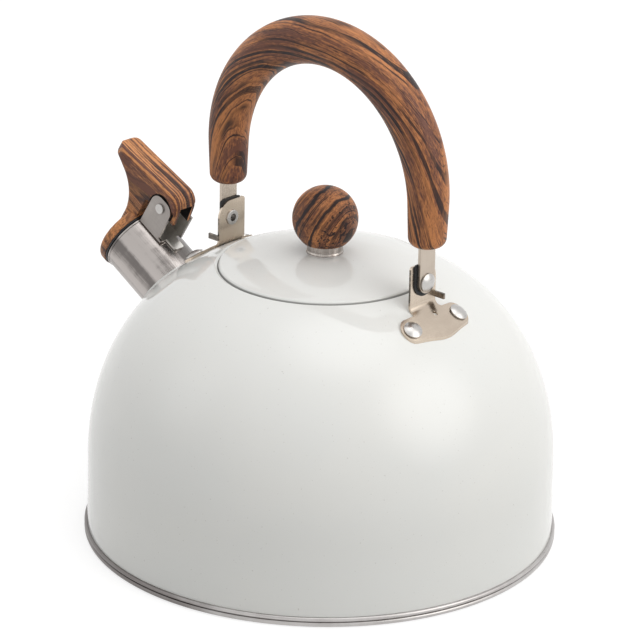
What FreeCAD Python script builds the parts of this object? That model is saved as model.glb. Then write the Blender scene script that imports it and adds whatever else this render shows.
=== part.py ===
import FreeCAD, Part
import math
import os
from FreeCAD import Matrix, Vector

# A three-litre stovetop whistling kettle: an enamelled dome on a steel base, a lift-off lid with a ball
# knob, a handle that folds sideways on two riveted brackets, and a short spout closed by a sprung whistling
# cap.
#
# Millimetres. The origin is on the kettle's axis in the plane that it stands on, +Z is up, the handle and
# the spout lie in the XZ plane, and the spout points to -X. "Front" is the spout's side and "rear" is
# opposite to it.

os.makedirs("parts", exist_ok=True)

# ---------------------------------------------------------------- driving dimensions
# Running and assembly clearances
FIT = 0.05            # between pieces that are pressed, crimped or moulded together
RUNNING_FIT = 0.08    # radial, between a hinge pin and the piece that turns on it
SIDE_PLAY = 0.15      # along a hinge pin, and between a closed cap or lid and its seat

# Dome of the body: a superellipse above the belt, and a slightly flared wall below it
BELT_RADIUS = 108.3
FOOT_FLARE = 0.4        # how far the foot stands out past the belt
BELT_Z = 37.0
CROWN_Z = 136.8
RADIAL_POWER = 2.51
HEIGHT_POWER = 2.09
BODY_WALL = 1.0

# Steel base: a pan with a double-beaded rim, and the heat-spreading disc under it
RIM_STAND_OUT = 1.3     # past the foot of the body
RIM_TOP = 4.7
RIM_BOTTOM = 0.3
RIM_GROOVE_Z = 2.5
RIM_GROOVE_WIDTH = 0.15
RIM_GROOVE_DEPTH = 1.0
PAN_FLOOR = 0.8
DISC_INSET = 20.7       # from the foot of the body
DISC_THICKNESS = 3.0
DISC_CHAMFER = 0.8

# Lid and the mouth that it sits in
LID_RADIUS = 48.4
LID_GAP = 0.5
LID_WALL = 0.9
EDGE_ROUND = 1.3
LEDGE_WIDTH = 5.4
LEDGE_DROP = 3.0
NECK_DEPTH = 7.0
SKIRT_GAP = 0.7
SKIRT_WALL = 0.8
SKIRT_DEPTH = 12.0

# Knob: a ball in a short collar, held by a screw from inside the lid
KNOB_RADIUS = 15.1
KNOB_RISE = 15.9        # from the crown to the ball's centre
COLLAR_RADIUS = 8.2
COLLAR_FLARE = 0.35         # by which its foot stands out
COLLAR_HEIGHT = 4.4     # above the crown
COLLAR_WALL = 1.2
SCREW_RADIUS = 2.5
SCREW_REACH = 14.0
SCREW_HEAD_RADIUS = 4.6
SCREW_HEAD_HEIGHT = 2.6
SCREW_SLOT_WIDTH = 1.1
SCREW_SLOT_DEPTH = 1.2
SCREW_HOLE_RADIUS = 2.7   # through the lid, the collar and the washer
KNOB_WASHER_RADIUS = 7.0
KNOB_WASHER_THICKNESS = 1.0
KNOB_WASHER_GAP = 0.3     # under the crown, because the lid curves down around it

# Spout: a straight steel tube, square to the dome
SPOUT_TILT = 31.3          # degrees above the horizontal
SPOUT_ROOT_Z = 93.618      # where its axis meets the dome
SPOUT_REACH = 33.073       # from there to its mouth
SPOUT_RADIUS = 16.7
SPOUT_WALL = 0.7
SPOUT_INSIDE = 6.9         # how far it goes on inside the body
SPOUT_LIP = 0.45
SPOUT_LIP_LENGTH = 1.2
SPOUT_FLANGE = 2.2         # how far the crimped flange inside the body stands out
SPOUT_NECK_HEIGHT = 3.2    # of the neck drawn out of the body, from the dome
SPOUT_NECK_SLANT = 7.5     # degrees by which the neck's top leans back over the spout
SPOUT_NECK_WALL = 1.0
SPOUT_NECK_ROUND = 4.0     # concave radius where the neck runs out into the dome

# Brackets that carry the handle
PLATE_FROM_SEAT = 9.6   # from the lid's seat
PLATE_THICKNESS = 1.0
PLATE_WIDTH = 17.0
PLATE_ABOVE_PIVOT = 8.6
PLATE_ROUND = 8.0
PLATE_CORNER = 1.5
FLANGE_THICKNESS = 1.0
FLANGE_REACH = 15.7     # from the plate's inside to the foot's edge
BEND_RADIUS = 3.0         # inside the bend between plate and foot
NOTCH_ROUND = 1.5
FLANGE_TUCK = 1.0         # by which the lobes' corners keep inside the lobes' reach
FLANGE_BOW = 1.6          # of the foot's outer corner, before it is rounded
FLANGE_BOW_ROUND = 24.0
EAR_RADIUS = 5.2
LOCATING_HOLE_RADIUS = 1.2
LOCATING_HOLE_OUT = 6.4   # from the plate's inside
LOCATING_HOLE_ASIDE = 2.6
BRACKET_RIVET_OUT = 8.3   # from the plate's inside
BRACKET_RIVET_Y = 15.3
BRACKET_RIVET_RADIUS = 2.0
BRACKET_RIVET_TAIL_RADIUS = 3.2
RIVET_SLIP = 0.02         # radial, between a rivet and its hole
BRACKET_RIVET_TAIL_HEIGHT = 0.9
BRACKET_RIVET_TAIL_GAP = 0.4   # between the set head inside and the body's wall
BRACKET_RIVET_HEAD_RADIUS = 4.3
BRACKET_RIVET_HEAD_HEIGHT = 1.9
RIVET_HEAD_RIM = 0.6      # straight side of every rivet's head, under its dome
STOP_LENGTH = 5.0
STOP_HEIGHT = 2.6
STOP_ROOT = 0.01          # by which the tab bites into the plate's edge, to join it

# Handle: two flat straps on hinge rivets, moulded into the ends of an arched grip
PIVOT_RISE = 12.6       # above the dome at the plate's foot
FOLD_ANGLE = 100.0
WASHER_RADIUS = 6.6       # of its round lower end
WASHER_RISE = 9.2         # of its square top, above the hinge
WASHER_CORNER = 1.2
WASHER_THICKNESS = 0.7
STRAP_WIDTH = 9.9
STRAP_THICKNESS = 1.5
STRAP_DEPTH_IN_GRIP = 22.0
ANCHOR_HOLE_RADIUS = 2.5
ANCHOR_HOLE_FROM_END = 6.0
PIVOT_RADIUS = 2.5
PIVOT_HEAD_RADIUS = 4.3
PIVOT_HEAD_HEIGHT = 2.0
PIVOT_TAIL_RADIUS = 3.6
PIVOT_TAIL_HEIGHT = 0.8
PIVOT_HOLE_RADIUS = 1.8
PIVOT_HOLE_DEPTH = 3.6
GRIP_OUTSIDE_STRAP = 0.0   # from the middle of the strap out to the middle of the grip
GRIP_ABOVE_PIVOT = 17.2
GRIP_LEG = 19.45           # straight length under the arch
GRIP_END_RADIUS = 8.5
GRIP_CROWN_RADIUS = 10.9
GRIP_THINNING_POWER = 2.2  # with which the grip thins from its crown to its ends
GRIP_END_ROUND = 4.0
GRIP_LEG_STEPS = 3         # sections lofted along each leg
GRIP_ARCH_STEPS = 12       # sections lofted along the arch

# Cap lever and its yoke, in the spout's own frame: "along" runs out of the mouth, "over" is square to it
PIN_ALONG = -8.0
PIN_RISE = 14.9            # above the spout's outside
PIN_RADIUS = 1.5
PIN_HEAD_RADIUS = 2.5
PIN_HEAD_HEIGHT = 0.9
OPEN_ANGLE = 55.0
YOKE_SHEET = 1.1
YOKE_INSIDE = 5.9          # half the distance between the ears
YOKE_EAR_HALF = 6.7        # half the ear's length, along the spout
YOKE_EAR_RISE = 5.2        # above the pin
YOKE_EAR_ROUND = 5.0
YOKE_BASE_TAIL = 2.1       # how far the base goes on behind the ears
YOKE_EAR_TAIL = 3.2        # how far the ear on the +Y side reaches back past the other
YOKE_TAIL_DROP = 1.0       # of that ear's rear part, from the pin
YOKE_FOOT_LENGTH = 6.9
YOKE_FOOT_WIDTH = 6.0
YOKE_FOOT_ROUND = 1.2
LEVER_HALF_WIDTH = 7.3
LEVER_EDGE_ROUND = 2.2
LEVER_TIP_ALONG = 30.8
LEVER_TIP_RISE = 7.6       # this and the other rises are measured from the pin
LEVER_TIP_ROUND = 7.0
LEVER_TIP_NOSE = 2.3       # rounding over the tip, seen from the side
LEVER_TIP_CHIN = 1.5
LEVER_BACK_ALONG = -15.7
LEVER_BACK_SLANT = 1.9     # by which the rear face leans out towards its foot
LEVER_BACK_RISE = 12.0
LEVER_BACK_ROUND = 7.5
LEVER_UNDERSIDE_RISE = -2.3
LEVER_UNDERSIDE_ROUND = 1.5
LEVER_NECK_REAR = 1.4
LEVER_NECK_FRONT = 9.4
LEVER_TIP_THICKNESS = 3.9
LEVER_FOOT_OVER = 6.0      # where the neck runs into the cap
LEVER_THROAT_RISE = -6.8   # corner of the concave front, before it is rounded
LEVER_THROAT_ROUND = 20.0
POCKET_CEILING_RISE = 6.4
POCKET_CEILING_ROUND = 1.0
POCKET_FRONT = -1.4
POCKET_HALF_WIDTH = 3.8
EAR_CLEARANCE = 0.6
RECESS_STEPS = 8           # places of the ear between shut and open that are cut out of the lever
CAP_OVERHANG = 1.1
CAP_THICKNESS = 4.8
CAP_CROWN = 1.8
CAP_ROUND = 2.4
CAP_CROWN_ROUND = 8.0
VENT_RADIUS = 3.0
GASKET_THICKNESS = 0.9
GASKET_INSET = 0.4         # from the cap's rim
WHISTLE_RADIUS = 12.0
WHISTLE_DEPTH = 2.6
WHISTLE_SHEET = 0.5
WHISTLE_GAP = 1.9          # from the cap's back to the second disc
WHISTLE_HOLE_RADIUS = 2.2
SPRING_WIRE = 0.6          # radius of the wire
COIL_OVERLAP = 1.08        # the drawn wire is this much thicker, so that the close coils join up
SPRING_COIL = 2.7          # mean radius of the coil
COIL_COUNT = 5
REAR_LEG_SPLAY = 1.8
FRONT_LEG_DROP = 11.0
LEG_PLAY = 0.6             # between the front leg's end and the lever's neck

# ---------------------------------------------------------------- what follows from them
FOOT_RADIUS = BELT_RADIUS + FOOT_FLARE
RIM_RADIUS = FOOT_RADIUS + RIM_STAND_OUT
DISC_RADIUS = FOOT_RADIUS - DISC_INSET
PAN_FLOOR_TOP = DISC_THICKNESS + PAN_FLOOR
SEAT_RADIUS = LID_RADIUS + LID_GAP
MOUTH_RADIUS = SEAT_RADIUS - LEDGE_WIDTH
KNOB_CENTRE_Z = CROWN_Z + KNOB_RISE
COLLAR_TOP_Z = CROWN_Z + COLLAR_HEIGHT
SPOUT_LENGTH = SPOUT_REACH + SPOUT_INSIDE
SPOUT_NECK_REACH = SPOUT_REACH - SPOUT_NECK_HEIGHT
SPOUT_BORE_RADIUS = SPOUT_RADIUS - SPOUT_WALL
PLATE_INSIDE_X = SEAT_RADIUS + PLATE_FROM_SEAT
PLATE_OUTSIDE_X = PLATE_INSIDE_X + PLATE_THICKNESS
FLANGE_REACH_X = PLATE_INSIDE_X + FLANGE_REACH
BRACKET_RIVET_X = PLATE_INSIDE_X + BRACKET_RIVET_OUT
STRAP_INSIDE_X = PLATE_OUTSIDE_X + WASHER_THICKNESS + SIDE_PLAY
STRAP_OUTSIDE_X = STRAP_INSIDE_X + STRAP_THICKNESS
GRIP_SPREAD = STRAP_INSIDE_X + STRAP_THICKNESS / 2 + GRIP_OUTSIDE_STRAP
GASKET_BACK = SIDE_PLAY
CAP_BACK = GASKET_BACK + GASKET_THICKNESS
CAP_FRONT = CAP_BACK + CAP_THICKNESS
YOKE_BASE = SPOUT_RADIUS + FIT
YOKE_OUTSIDE = YOKE_INSIDE + YOKE_SHEET
LEVER_WAIST = YOKE_INSIDE - 2 * SIDE_PLAY
PIN_OVER = SPOUT_RADIUS + PIN_RISE
LEVER_TIP_OVER = PIN_OVER + LEVER_TIP_RISE
LEVER_BACK_OVER = PIN_OVER + LEVER_BACK_RISE
LEVER_UNDERSIDE = PIN_OVER + LEVER_UNDERSIDE_RISE
LEVER_THROAT_OVER = PIN_OVER + LEVER_THROAT_RISE
POCKET_CEILING = PIN_OVER + POCKET_CEILING_RISE
CAP_RADIUS = SPOUT_RADIUS + CAP_OVERHANG
GASKET_INNER_RADIUS = WHISTLE_RADIUS + GASKET_INSET

AXIS = Vector(0, 0, 1)
ORIGIN = Vector(0, 0, 0)
THROUGH = 80.0     # longer than anything that a cutter has to pass through
ALMOST = 0.01      # kept of a straight edge between two roundings that would otherwise meet


def dome_z(radius, offset=0.0):
    """Height of the dome's surface at a radius; offset moves the surface outwards."""
    share = (radius / (BELT_RADIUS + offset)) ** RADIAL_POWER
    return BELT_Z + (CROWN_Z + offset - BELT_Z) * (1 - share) ** (1 / HEIGHT_POWER)


def dome_radius(height):
    """Radius of the dome's surface at a height."""
    share = ((height - BELT_Z) / (CROWN_Z - BELT_Z)) ** HEIGHT_POWER
    return BELT_RADIUS * (1 - share) ** (1 / RADIAL_POWER)


# ---------------------------------------------------------------- places that the dome gives
TILT = math.radians(SPOUT_TILT)
LEDGE_Z = dome_z(SEAT_RADIUS) - LEDGE_DROP
SPOUT_MOUTH_X = -dome_radius(SPOUT_ROOT_Z) - SPOUT_REACH * math.cos(TILT)
SPOUT_MOUTH_Z = SPOUT_ROOT_Z + SPOUT_REACH * math.sin(TILT)
PIVOT_Z = dome_z(PLATE_OUTSIDE_X) + PIVOT_RISE
PLATE_TOP_Z = PIVOT_Z + PLATE_ABOVE_PIVOT
GRIP_END_Z = PIVOT_Z + GRIP_ABOVE_PIVOT
GRIP_ARCH_Z = GRIP_END_Z + GRIP_LEG


def dome_curve(from_radius, offset=0.0, steps=14):
    """Curve of the dome in the XZ plane, from a radius out and down to the belt."""
    belt = BELT_RADIUS + offset
    rise = CROWN_Z + offset - BELT_Z
    start = math.acos((from_radius / belt) ** (RADIAL_POWER / 2))
    points = []
    for step in range(steps + 1):
        angle = start * (1 - step / steps)
        radius = belt * math.cos(angle) ** (2 / RADIAL_POWER)
        height = BELT_Z + rise * math.sin(angle) ** (2 / HEIGHT_POWER)
        points.append(Vector(radius, 0, height))
    curve = Part.BSplineCurve()
    curve.interpolate(points)
    return curve.toShape()


def line_through(points):
    return [Part.makeLine(a, b) for a, b in zip(points, points[1:])]


def turned(edges):
    """Solid of revolution about the kettle's axis from edges that close a region of the XZ plane."""
    return Part.Face(Part.Wire(Part.__sortEdges__(edges))).revolve(ORIGIN, AXIS, 360)


def solid_dome(offset):
    """Everything under the dome's surface, moved outwards by an offset, down to the floor."""
    curve = dome_curve(0.0, offset)
    crown, belt = curve.Vertexes[0].Point, curve.Vertexes[-1].Point
    foot = Vector(FOOT_RADIUS + offset, 0, 0)
    return turned([curve] + line_through([belt, foot, ORIGIN, crown]))


def rounded_wire(corners):
    """Closed wire in the XY plane through (x, y, radius) corners, each rounded by a tangent arc."""
    points = [Vector(x, y, 0) for x, y, _ in corners]
    arcs = []
    for i, (_, _, radius) in enumerate(corners):
        corner = points[i]
        before = (points[i - 1] - corner).normalize()
        after = (points[(i + 1) % len(points)] - corner).normalize()
        half = before.getAngle(after) / 2
        reach = radius / math.tan(half)
        inward = (before + after).normalize()
        middle = corner + inward * (radius / math.sin(half) - radius)
        arcs.append((corner + before * reach, middle, corner + after * reach))
    edges = []
    for i, (start, middle, end) in enumerate(arcs):
        if start.distanceToPoint(end) > 1e-6:
            edges.append(Part.Arc(start, middle, end).toShape())
        following = arcs[(i + 1) % len(arcs)][0]
        if end.distanceToPoint(following) > 1e-6:
            edges.append(Part.makeLine(end, following))
    return Part.Wire(edges)


def prism(corners, low, high):
    """Upright prism of a rounded outline between two heights."""
    return Part.Face(rounded_wire(corners)).extrude(Vector(0, 0, high - low)).translated(Vector(0, 0, low))


def ring(inner, outer, low, high):
    """Upright washer or sleeve about the Z axis."""
    sleeve = Part.makeCylinder(outer, high - low, Vector(0, 0, low))
    return sleeve.cut(Part.makeCylinder(inner, high - low + 2, Vector(0, 0, low - 1)))


def turned_outline(corners):
    """Solid of revolution about the Z axis of a rounded outline given as (radius, height, rounding)."""
    wire = rounded_wire(corners)
    wire.rotate(ORIGIN, Vector(1, 0, 0), 90)
    return Part.Face(wire).revolve(ORIGIN, AXIS, 360)


def domed_head(radius, height):
    """Shallow spherical cap standing on the XY plane, for rivet heads."""
    sphere_radius = (radius ** 2 + height ** 2) / (2 * height)
    ball = Part.makeSphere(sphere_radius, Vector(0, 0, height - sphere_radius))
    return ball.common(Part.makeCylinder(radius + 1, height + 1))


def rivet_head(radius, height):
    """Domed head with a short straight side, standing on the XY plane."""
    rim = Part.makeCylinder(radius, RIVET_HEAD_RIM)
    dome = domed_head(radius, height - RIVET_HEAD_RIM)
    return rim.fuse(dome.translated(Vector(0, 0, RIVET_HEAD_RIM))).removeSplitter()


def along_x(shape, x, y, z):
    """Turns a shape built along +Z to point along +X, and puts its origin at a point."""
    return shape.rotated(ORIGIN, Vector(0, 1, 0), 90).translated(Vector(x, y, z))


def to_front(shape):
    """The same piece on the spout's side: half a turn about the kettle's axis."""
    return shape.rotated(ORIGIN, AXIS, 180)


# The spout's frame as a matrix: its X is "over", its Y is the kettle's Y, and its Z is "along"
SPOUT_FRAME = Matrix(
    math.sin(TILT), 0, -math.cos(TILT), SPOUT_MOUTH_X,
    0, 1, 0, 0,
    math.cos(TILT), 0, math.sin(TILT), SPOUT_MOUTH_Z,
    0, 0, 0, 1,
)


def on_spout(shape):
    """Puts a shape that is built in the spout's frame where the spout is."""
    moved = shape.copy()
    moved.Placement = FreeCAD.Placement(SPOUT_FRAME).multiply(shape.Placement)
    return moved


# ---------------------------------------------------------------- body and base
def make_body_shell():
    """Enamelled dome with a turned-down mouth and a neck drawn out around the spout."""
    outside = with_neck(solid_dome(0.0), SPOUT_RADIUS + FIT + SPOUT_NECK_WALL, SPOUT_NECK_ROUND)
    inside = with_neck(solid_dome(-BODY_WALL), SPOUT_RADIUS + FIT, SPOUT_NECK_ROUND + SPOUT_NECK_WALL)
    below = Part.makeCylinder(2 * FOOT_RADIUS, PAN_FLOOR_TOP)
    bore = Part.makeCylinder(SPOUT_RADIUS + FIT, SPOUT_LENGTH, Vector(0, 0, -SPOUT_LENGTH))
    rim_radius = SEAT_RADIUS + EDGE_ROUND
    opening = Part.makeCylinder(rim_radius, 2 * CROWN_Z)
    shell = outside.cut(inside).cut(below).cut(opening).cut(on_spout(bore))
    return shell.fuse(make_mouth(rim_radius)).removeSplitter().cut(Part.makeCompound(rivet_holes()))


def with_neck(dome, radius, blend):
    """A dome with a round boss square to it for the spout, blended in, and cut off aslant."""
    boss = Part.makeCylinder(radius, 2 * SPOUT_NECK_REACH, Vector(0, 0, -SPOUT_LENGTH - 10))
    joined = dome.fuse(on_spout(boss))
    wide = [e for e in joined.Edges if radius < e.BoundBox.YLength < 3 * radius]
    joined = joined.makeFillet(blend, [e for e in wide if isinstance(e.Curve, Part.BSplineCurve)])
    size = 2 * SPOUT_LENGTH
    slant = Part.makeBox(size, size, size, Vector(-size / 2, -size / 2, 0))
    slant = slant.rotated(ORIGIN, Vector(0, 1, 0), SPOUT_NECK_SLANT)
    return joined.cut(on_spout(slant.translated(Vector(0, 0, -SPOUT_NECK_REACH))))


def make_mouth(rim_radius):
    """Rolled edge around the lid, the ledge that the lid rests on, and the short neck under it."""
    top = dome_z(rim_radius)
    lip = Vector(SEAT_RADIUS, 0, top - EDGE_ROUND)
    middle = Vector(SEAT_RADIUS + 0.3 * EDGE_ROUND, 0, top - 0.3 * EDGE_ROUND)
    neck_bottom = LEDGE_Z - NECK_DEPTH
    edges = line_through([
        lip,
        Vector(SEAT_RADIUS, 0, LEDGE_Z),
        Vector(MOUTH_RADIUS, 0, LEDGE_Z),
        Vector(MOUTH_RADIUS, 0, neck_bottom),
        Vector(MOUTH_RADIUS + BODY_WALL, 0, neck_bottom),
        Vector(MOUTH_RADIUS + BODY_WALL, 0, LEDGE_Z - BODY_WALL),
        Vector(rim_radius, 0, LEDGE_Z - BODY_WALL),
        Vector(rim_radius, 0, top),
    ])
    return turned(edges + [Part.Arc(Vector(rim_radius, 0, top), middle, lip).toShape()])


def make_base_pan():
    """Steel pan that closes the body, with two beads rolled around its rim."""
    inner = FOOT_RADIUS - BODY_WALL - PAN_FLOOR
    groove = RIM_RADIUS - RIM_GROOVE_DEPTH
    bead = RIM_GROOVE_DEPTH
    upper = RIM_GROOVE_Z + RIM_GROOVE_WIDTH
    return turned_outline([
        (0, DISC_THICKNESS, 0),
        (inner, DISC_THICKNESS, 0.5),
        (inner, RIM_BOTTOM, 0.8),
        (RIM_RADIUS, RIM_BOTTOM, bead),
        (RIM_RADIUS, RIM_GROOVE_Z, bead),
        (groove, RIM_GROOVE_Z, 0),
        (groove, upper, 0),
        (RIM_RADIUS, upper, bead),
        (RIM_RADIUS, RIM_TOP, bead),
        (FOOT_RADIUS + FIT, RIM_TOP, 0),
        (FOOT_RADIUS + FIT, PAN_FLOOR_TOP, 0),
        (0, PAN_FLOOR_TOP, 0),
    ])


def make_base_disc():
    """Heat-spreading disc bonded under the pan; the kettle stands on it."""
    disc = Part.makeCylinder(DISC_RADIUS, DISC_THICKNESS)
    return disc.makeChamfer(DISC_CHAMFER, [edge_at(disc, 0.0)])


def edge_at(shape, height):
    """The circular edge of a turned solid at a height."""
    return next(e for e in shape.Edges if e.Closed and abs(e.BoundBox.ZMin - height) < 1e-6
                and e.BoundBox.ZLength < 1e-6)


# ---------------------------------------------------------------- lid and knob
def make_lid_shell():
    """Lid that carries on the dome, with a rounded edge turned down onto the ledge."""
    rim_radius = LID_RADIUS - EDGE_ROUND
    full = solid_dome(0.0).cut(solid_dome(-LID_WALL))
    blank = full.common(Part.makeCylinder(rim_radius, CROWN_Z))
    bore = Part.makeCylinder(SCREW_HOLE_RADIUS, CROWN_Z)
    top = dome_z(rim_radius)
    edge_bottom = LEDGE_Z + SIDE_PLAY
    inner = LID_RADIUS - LID_WALL
    corner = Vector(rim_radius, 0, top)
    side = Vector(LID_RADIUS, 0, top - EDGE_ROUND)
    middle = Vector(LID_RADIUS - 0.3 * EDGE_ROUND, 0, top - 0.3 * EDGE_ROUND)
    edges = [Part.Arc(corner, middle, side).toShape()]
    edges += line_through([
        side,
        Vector(LID_RADIUS, 0, edge_bottom),
        Vector(inner, 0, edge_bottom),
        Vector(inner, 0, top - EDGE_ROUND),
        Vector(rim_radius, 0, top - EDGE_ROUND),
        corner,
    ])
    return blank.fuse(turned(edges)).cut(bore).removeSplitter()


def make_lid_skirt():
    """Ring under the lid that keeps it centred in the mouth."""
    outer = MOUTH_RADIUS - SKIRT_GAP
    blank = ring(outer - SKIRT_WALL, outer, LEDGE_Z - SKIRT_DEPTH, CROWN_Z)
    return blank.common(solid_dome(-LID_WALL))


def make_knob_ball():
    """Ball knob, cut flat where it stands on the collar, with a blind hole for the screw."""
    centre = Vector(0, 0, KNOB_CENTRE_Z)
    ball = Part.makeSphere(KNOB_RADIUS, centre)
    below = Part.makeCylinder(KNOB_RADIUS, KNOB_RADIUS * 2, Vector(0, 0, COLLAR_TOP_Z - KNOB_RADIUS * 2))
    hole = Part.makeCylinder(SCREW_RADIUS + FIT, SCREW_REACH + 1, Vector(0, 0, COLLAR_TOP_Z))
    return ball.cut(below).cut(hole)


def make_knob_collar():
    """Short steel cup between the ball and the lid; its foot follows the dome."""
    foot = CROWN_Z - COLLAR_WALL
    blank = turned_outline([
        (SCREW_HOLE_RADIUS, foot, 0),
        (COLLAR_RADIUS + COLLAR_FLARE, foot, 0),
        (COLLAR_RADIUS + COLLAR_FLARE, CROWN_Z + COLLAR_FLARE, COLLAR_FLARE),
        (COLLAR_RADIUS, CROWN_Z + 3 * COLLAR_FLARE, COLLAR_FLARE),
        (COLLAR_RADIUS, COLLAR_TOP_Z, COLLAR_FLARE),
        (SCREW_HOLE_RADIUS, COLLAR_TOP_Z, 0),
    ])
    return blank.cut(solid_dome(0.0))


def make_knob_washer():
    """Rubber washer between the screw's head and the lid."""
    top = dome_z(0, -LID_WALL) - KNOB_WASHER_GAP
    return ring(SCREW_HOLE_RADIUS, KNOB_WASHER_RADIUS, top - KNOB_WASHER_THICKNESS, top)


def make_knob_screw():
    """Pan-head screw from inside the lid into the ball."""
    seat = dome_z(0, -LID_WALL) - KNOB_WASHER_GAP - KNOB_WASHER_THICKNESS
    shank = Part.makeCylinder(SCREW_RADIUS, COLLAR_TOP_Z + SCREW_REACH - seat, Vector(0, 0, seat))
    head = domed_head(SCREW_HEAD_RADIUS, SCREW_HEAD_HEIGHT).mirror(ORIGIN, AXIS)
    length = 3 * SCREW_HEAD_RADIUS
    corner = Vector(-SCREW_SLOT_WIDTH / 2, -length / 2, -SCREW_HEAD_HEIGHT)
    slot = Part.makeBox(SCREW_SLOT_WIDTH, length, SCREW_SLOT_DEPTH, corner)
    return shank.fuse(head.cut(slot).translated(Vector(0, 0, seat))).removeSplitter()


# ---------------------------------------------------------------- spout
def make_spout_tube():
    """Straight steel tube with a rolled lip at its mouth and a crimped flange inside the body."""
    back = -SPOUT_LENGTH
    flange_radius = SPOUT_RADIUS + SPOUT_FLANGE
    lip_radius = SPOUT_RADIUS + SPOUT_LIP
    return on_spout(turned_outline([
        (SPOUT_BORE_RADIUS, back, 0),
        (flange_radius, back, 0.3),
        (flange_radius, back + SPOUT_WALL, 0.3),
        (SPOUT_RADIUS, back + SPOUT_WALL, 0),
        (SPOUT_RADIUS, -SPOUT_LIP_LENGTH, 0),
        (lip_radius, -SPOUT_LIP_LENGTH + 0.2, 0.2),
        (lip_radius, 0, 0.5),
        (SPOUT_BORE_RADIUS, 0, 0.3),
    ]))


# ---------------------------------------------------------------- brackets, straps and grip
def make_rear_bracket():
    """One pressing: an upright plate, a bend, a fan-shaped foot that lies on the dome, and a stop tab."""
    half = PLATE_WIDTH / 2
    # The plate, drawn across and up, then stood on edge and trimmed to start inside the foot's sheet
    plate = prism([
        (-half, BELT_Z, 0),
        (half, BELT_Z, 0),
        (half, PLATE_TOP_Z, PLATE_ROUND),
        (-half, PLATE_TOP_Z, PLATE_CORNER),
    ], 0, PLATE_THICKNESS)
    plate = upright(plate).translated(Vector(PLATE_INSIDE_X, 0, 0))
    plate = plate.cut(solid_dome(FIT + FLANGE_THICKNESS / 3))
    # The foot, drawn from above and trimmed to a sheet that follows the dome
    ear = EAR_RADIUS
    notch_x = PLATE_INSIDE_X + BEND_RADIUS + FLANGE_THICKNESS
    inner_x = BRACKET_RIVET_X - ear
    outer_x = BRACKET_RIVET_X + ear - FLANGE_TUCK
    lobe_y = BRACKET_RIVET_Y + ear
    outline = prism([
        (PLATE_INSIDE_X, -half, 0),
        (notch_x, -half, NOTCH_ROUND),
        (inner_x, -lobe_y, 0.9 * ear),
        (outer_x, -lobe_y, ear),
        (FLANGE_REACH_X + FLANGE_BOW, 0, FLANGE_BOW_ROUND),
        (outer_x, lobe_y, ear),
        (inner_x, lobe_y, 0.9 * ear),
        (notch_x, half, NOTCH_ROUND),
        (PLATE_INSIDE_X, half, 0),
    ], 0, CROWN_Z)
    sheet = solid_dome(FIT + FLANGE_THICKNESS).cut(solid_dome(FIT))
    blank = bent(plate.fuse(outline.common(sheet)).removeSplitter())
    # The stop tab: a tongue off the plate's edge, turned outwards
    stop_top = PIVOT_Z - stop_drop()
    stop = Part.makeBox(PLATE_THICKNESS + STOP_LENGTH, PLATE_THICKNESS, STOP_HEIGHT)
    blank = blank.fuse(stop.translated(Vector(PLATE_INSIDE_X, half - STOP_ROOT, stop_top - STOP_HEIGHT)))
    pivot = Part.makeCylinder(PIVOT_RADIUS, THROUGH, Vector(0, 0, -THROUGH / 2))
    blank = blank.cut(along_x(pivot, PLATE_INSIDE_X, 0, PIVOT_Z))
    hole = Part.makeCylinder(LOCATING_HOLE_RADIUS, CROWN_Z)
    hole_place = Vector(PLATE_INSIDE_X + LOCATING_HOLE_OUT, LOCATING_HOLE_ASIDE, BELT_Z)
    blank = blank.cut(hole.translated(hole_place))
    return blank.cut(Part.makeCompound(rivet_holes())).removeSplitter()


def bent(blank):
    """The corner between the plate and the foot made an even bend of the sheet, inside and outside."""
    for x, radius in ((PLATE_OUTSIDE_X, BEND_RADIUS), (PLATE_INSIDE_X, BEND_RADIUS + FLANGE_THICKNESS)):
        highest = dome_z(x) + 2 * FLANGE_THICKNESS
        low = [e for e in blank.Edges if lies_at(e, x=x) and e.BoundBox.ZMax < highest]
        corner = [e for e in low if e.BoundBox.YLength > FLANGE_THICKNESS]
        blank = blank.makeFillet(radius, corner)
    return blank


def upright(shape):
    """Stands a shape drawn in XY on edge: its X goes across, its Y goes up, and its Z goes outwards."""
    return shape.rotated(ORIGIN, Vector(1, 0, 0), 90).rotated(ORIGIN, AXIS, 90)


def stop_drop():
    """How far under the hinge the stop's top lies, for the strap to meet it at the end of the fold."""
    fold = math.radians(FOLD_ANGLE)
    edge_y = PLATE_WIDTH / 2 + PLATE_THICKNESS
    reach = STRAP_WIDTH / 2 + 2 * SIDE_PLAY
    return (reach - edge_y * math.cos(fold)) / math.sin(fold)


def square_to_dome(shape, x, y):
    """Puts a shape built along +Z on the dome above a point, square to the surface."""
    radius = math.hypot(x, y)
    step = 0.1
    slope = (dome_z(radius - step) - dome_z(radius + step)) / (2 * step)
    lean = math.degrees(math.atan(slope))
    turned_shape = shape.rotated(ORIGIN, Vector(0, 1, 0), lean)
    turned_shape.rotate(ORIGIN, AXIS, math.degrees(math.atan2(y, x)))
    return turned_shape.translated(Vector(x, y, dome_z(radius)))


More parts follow.
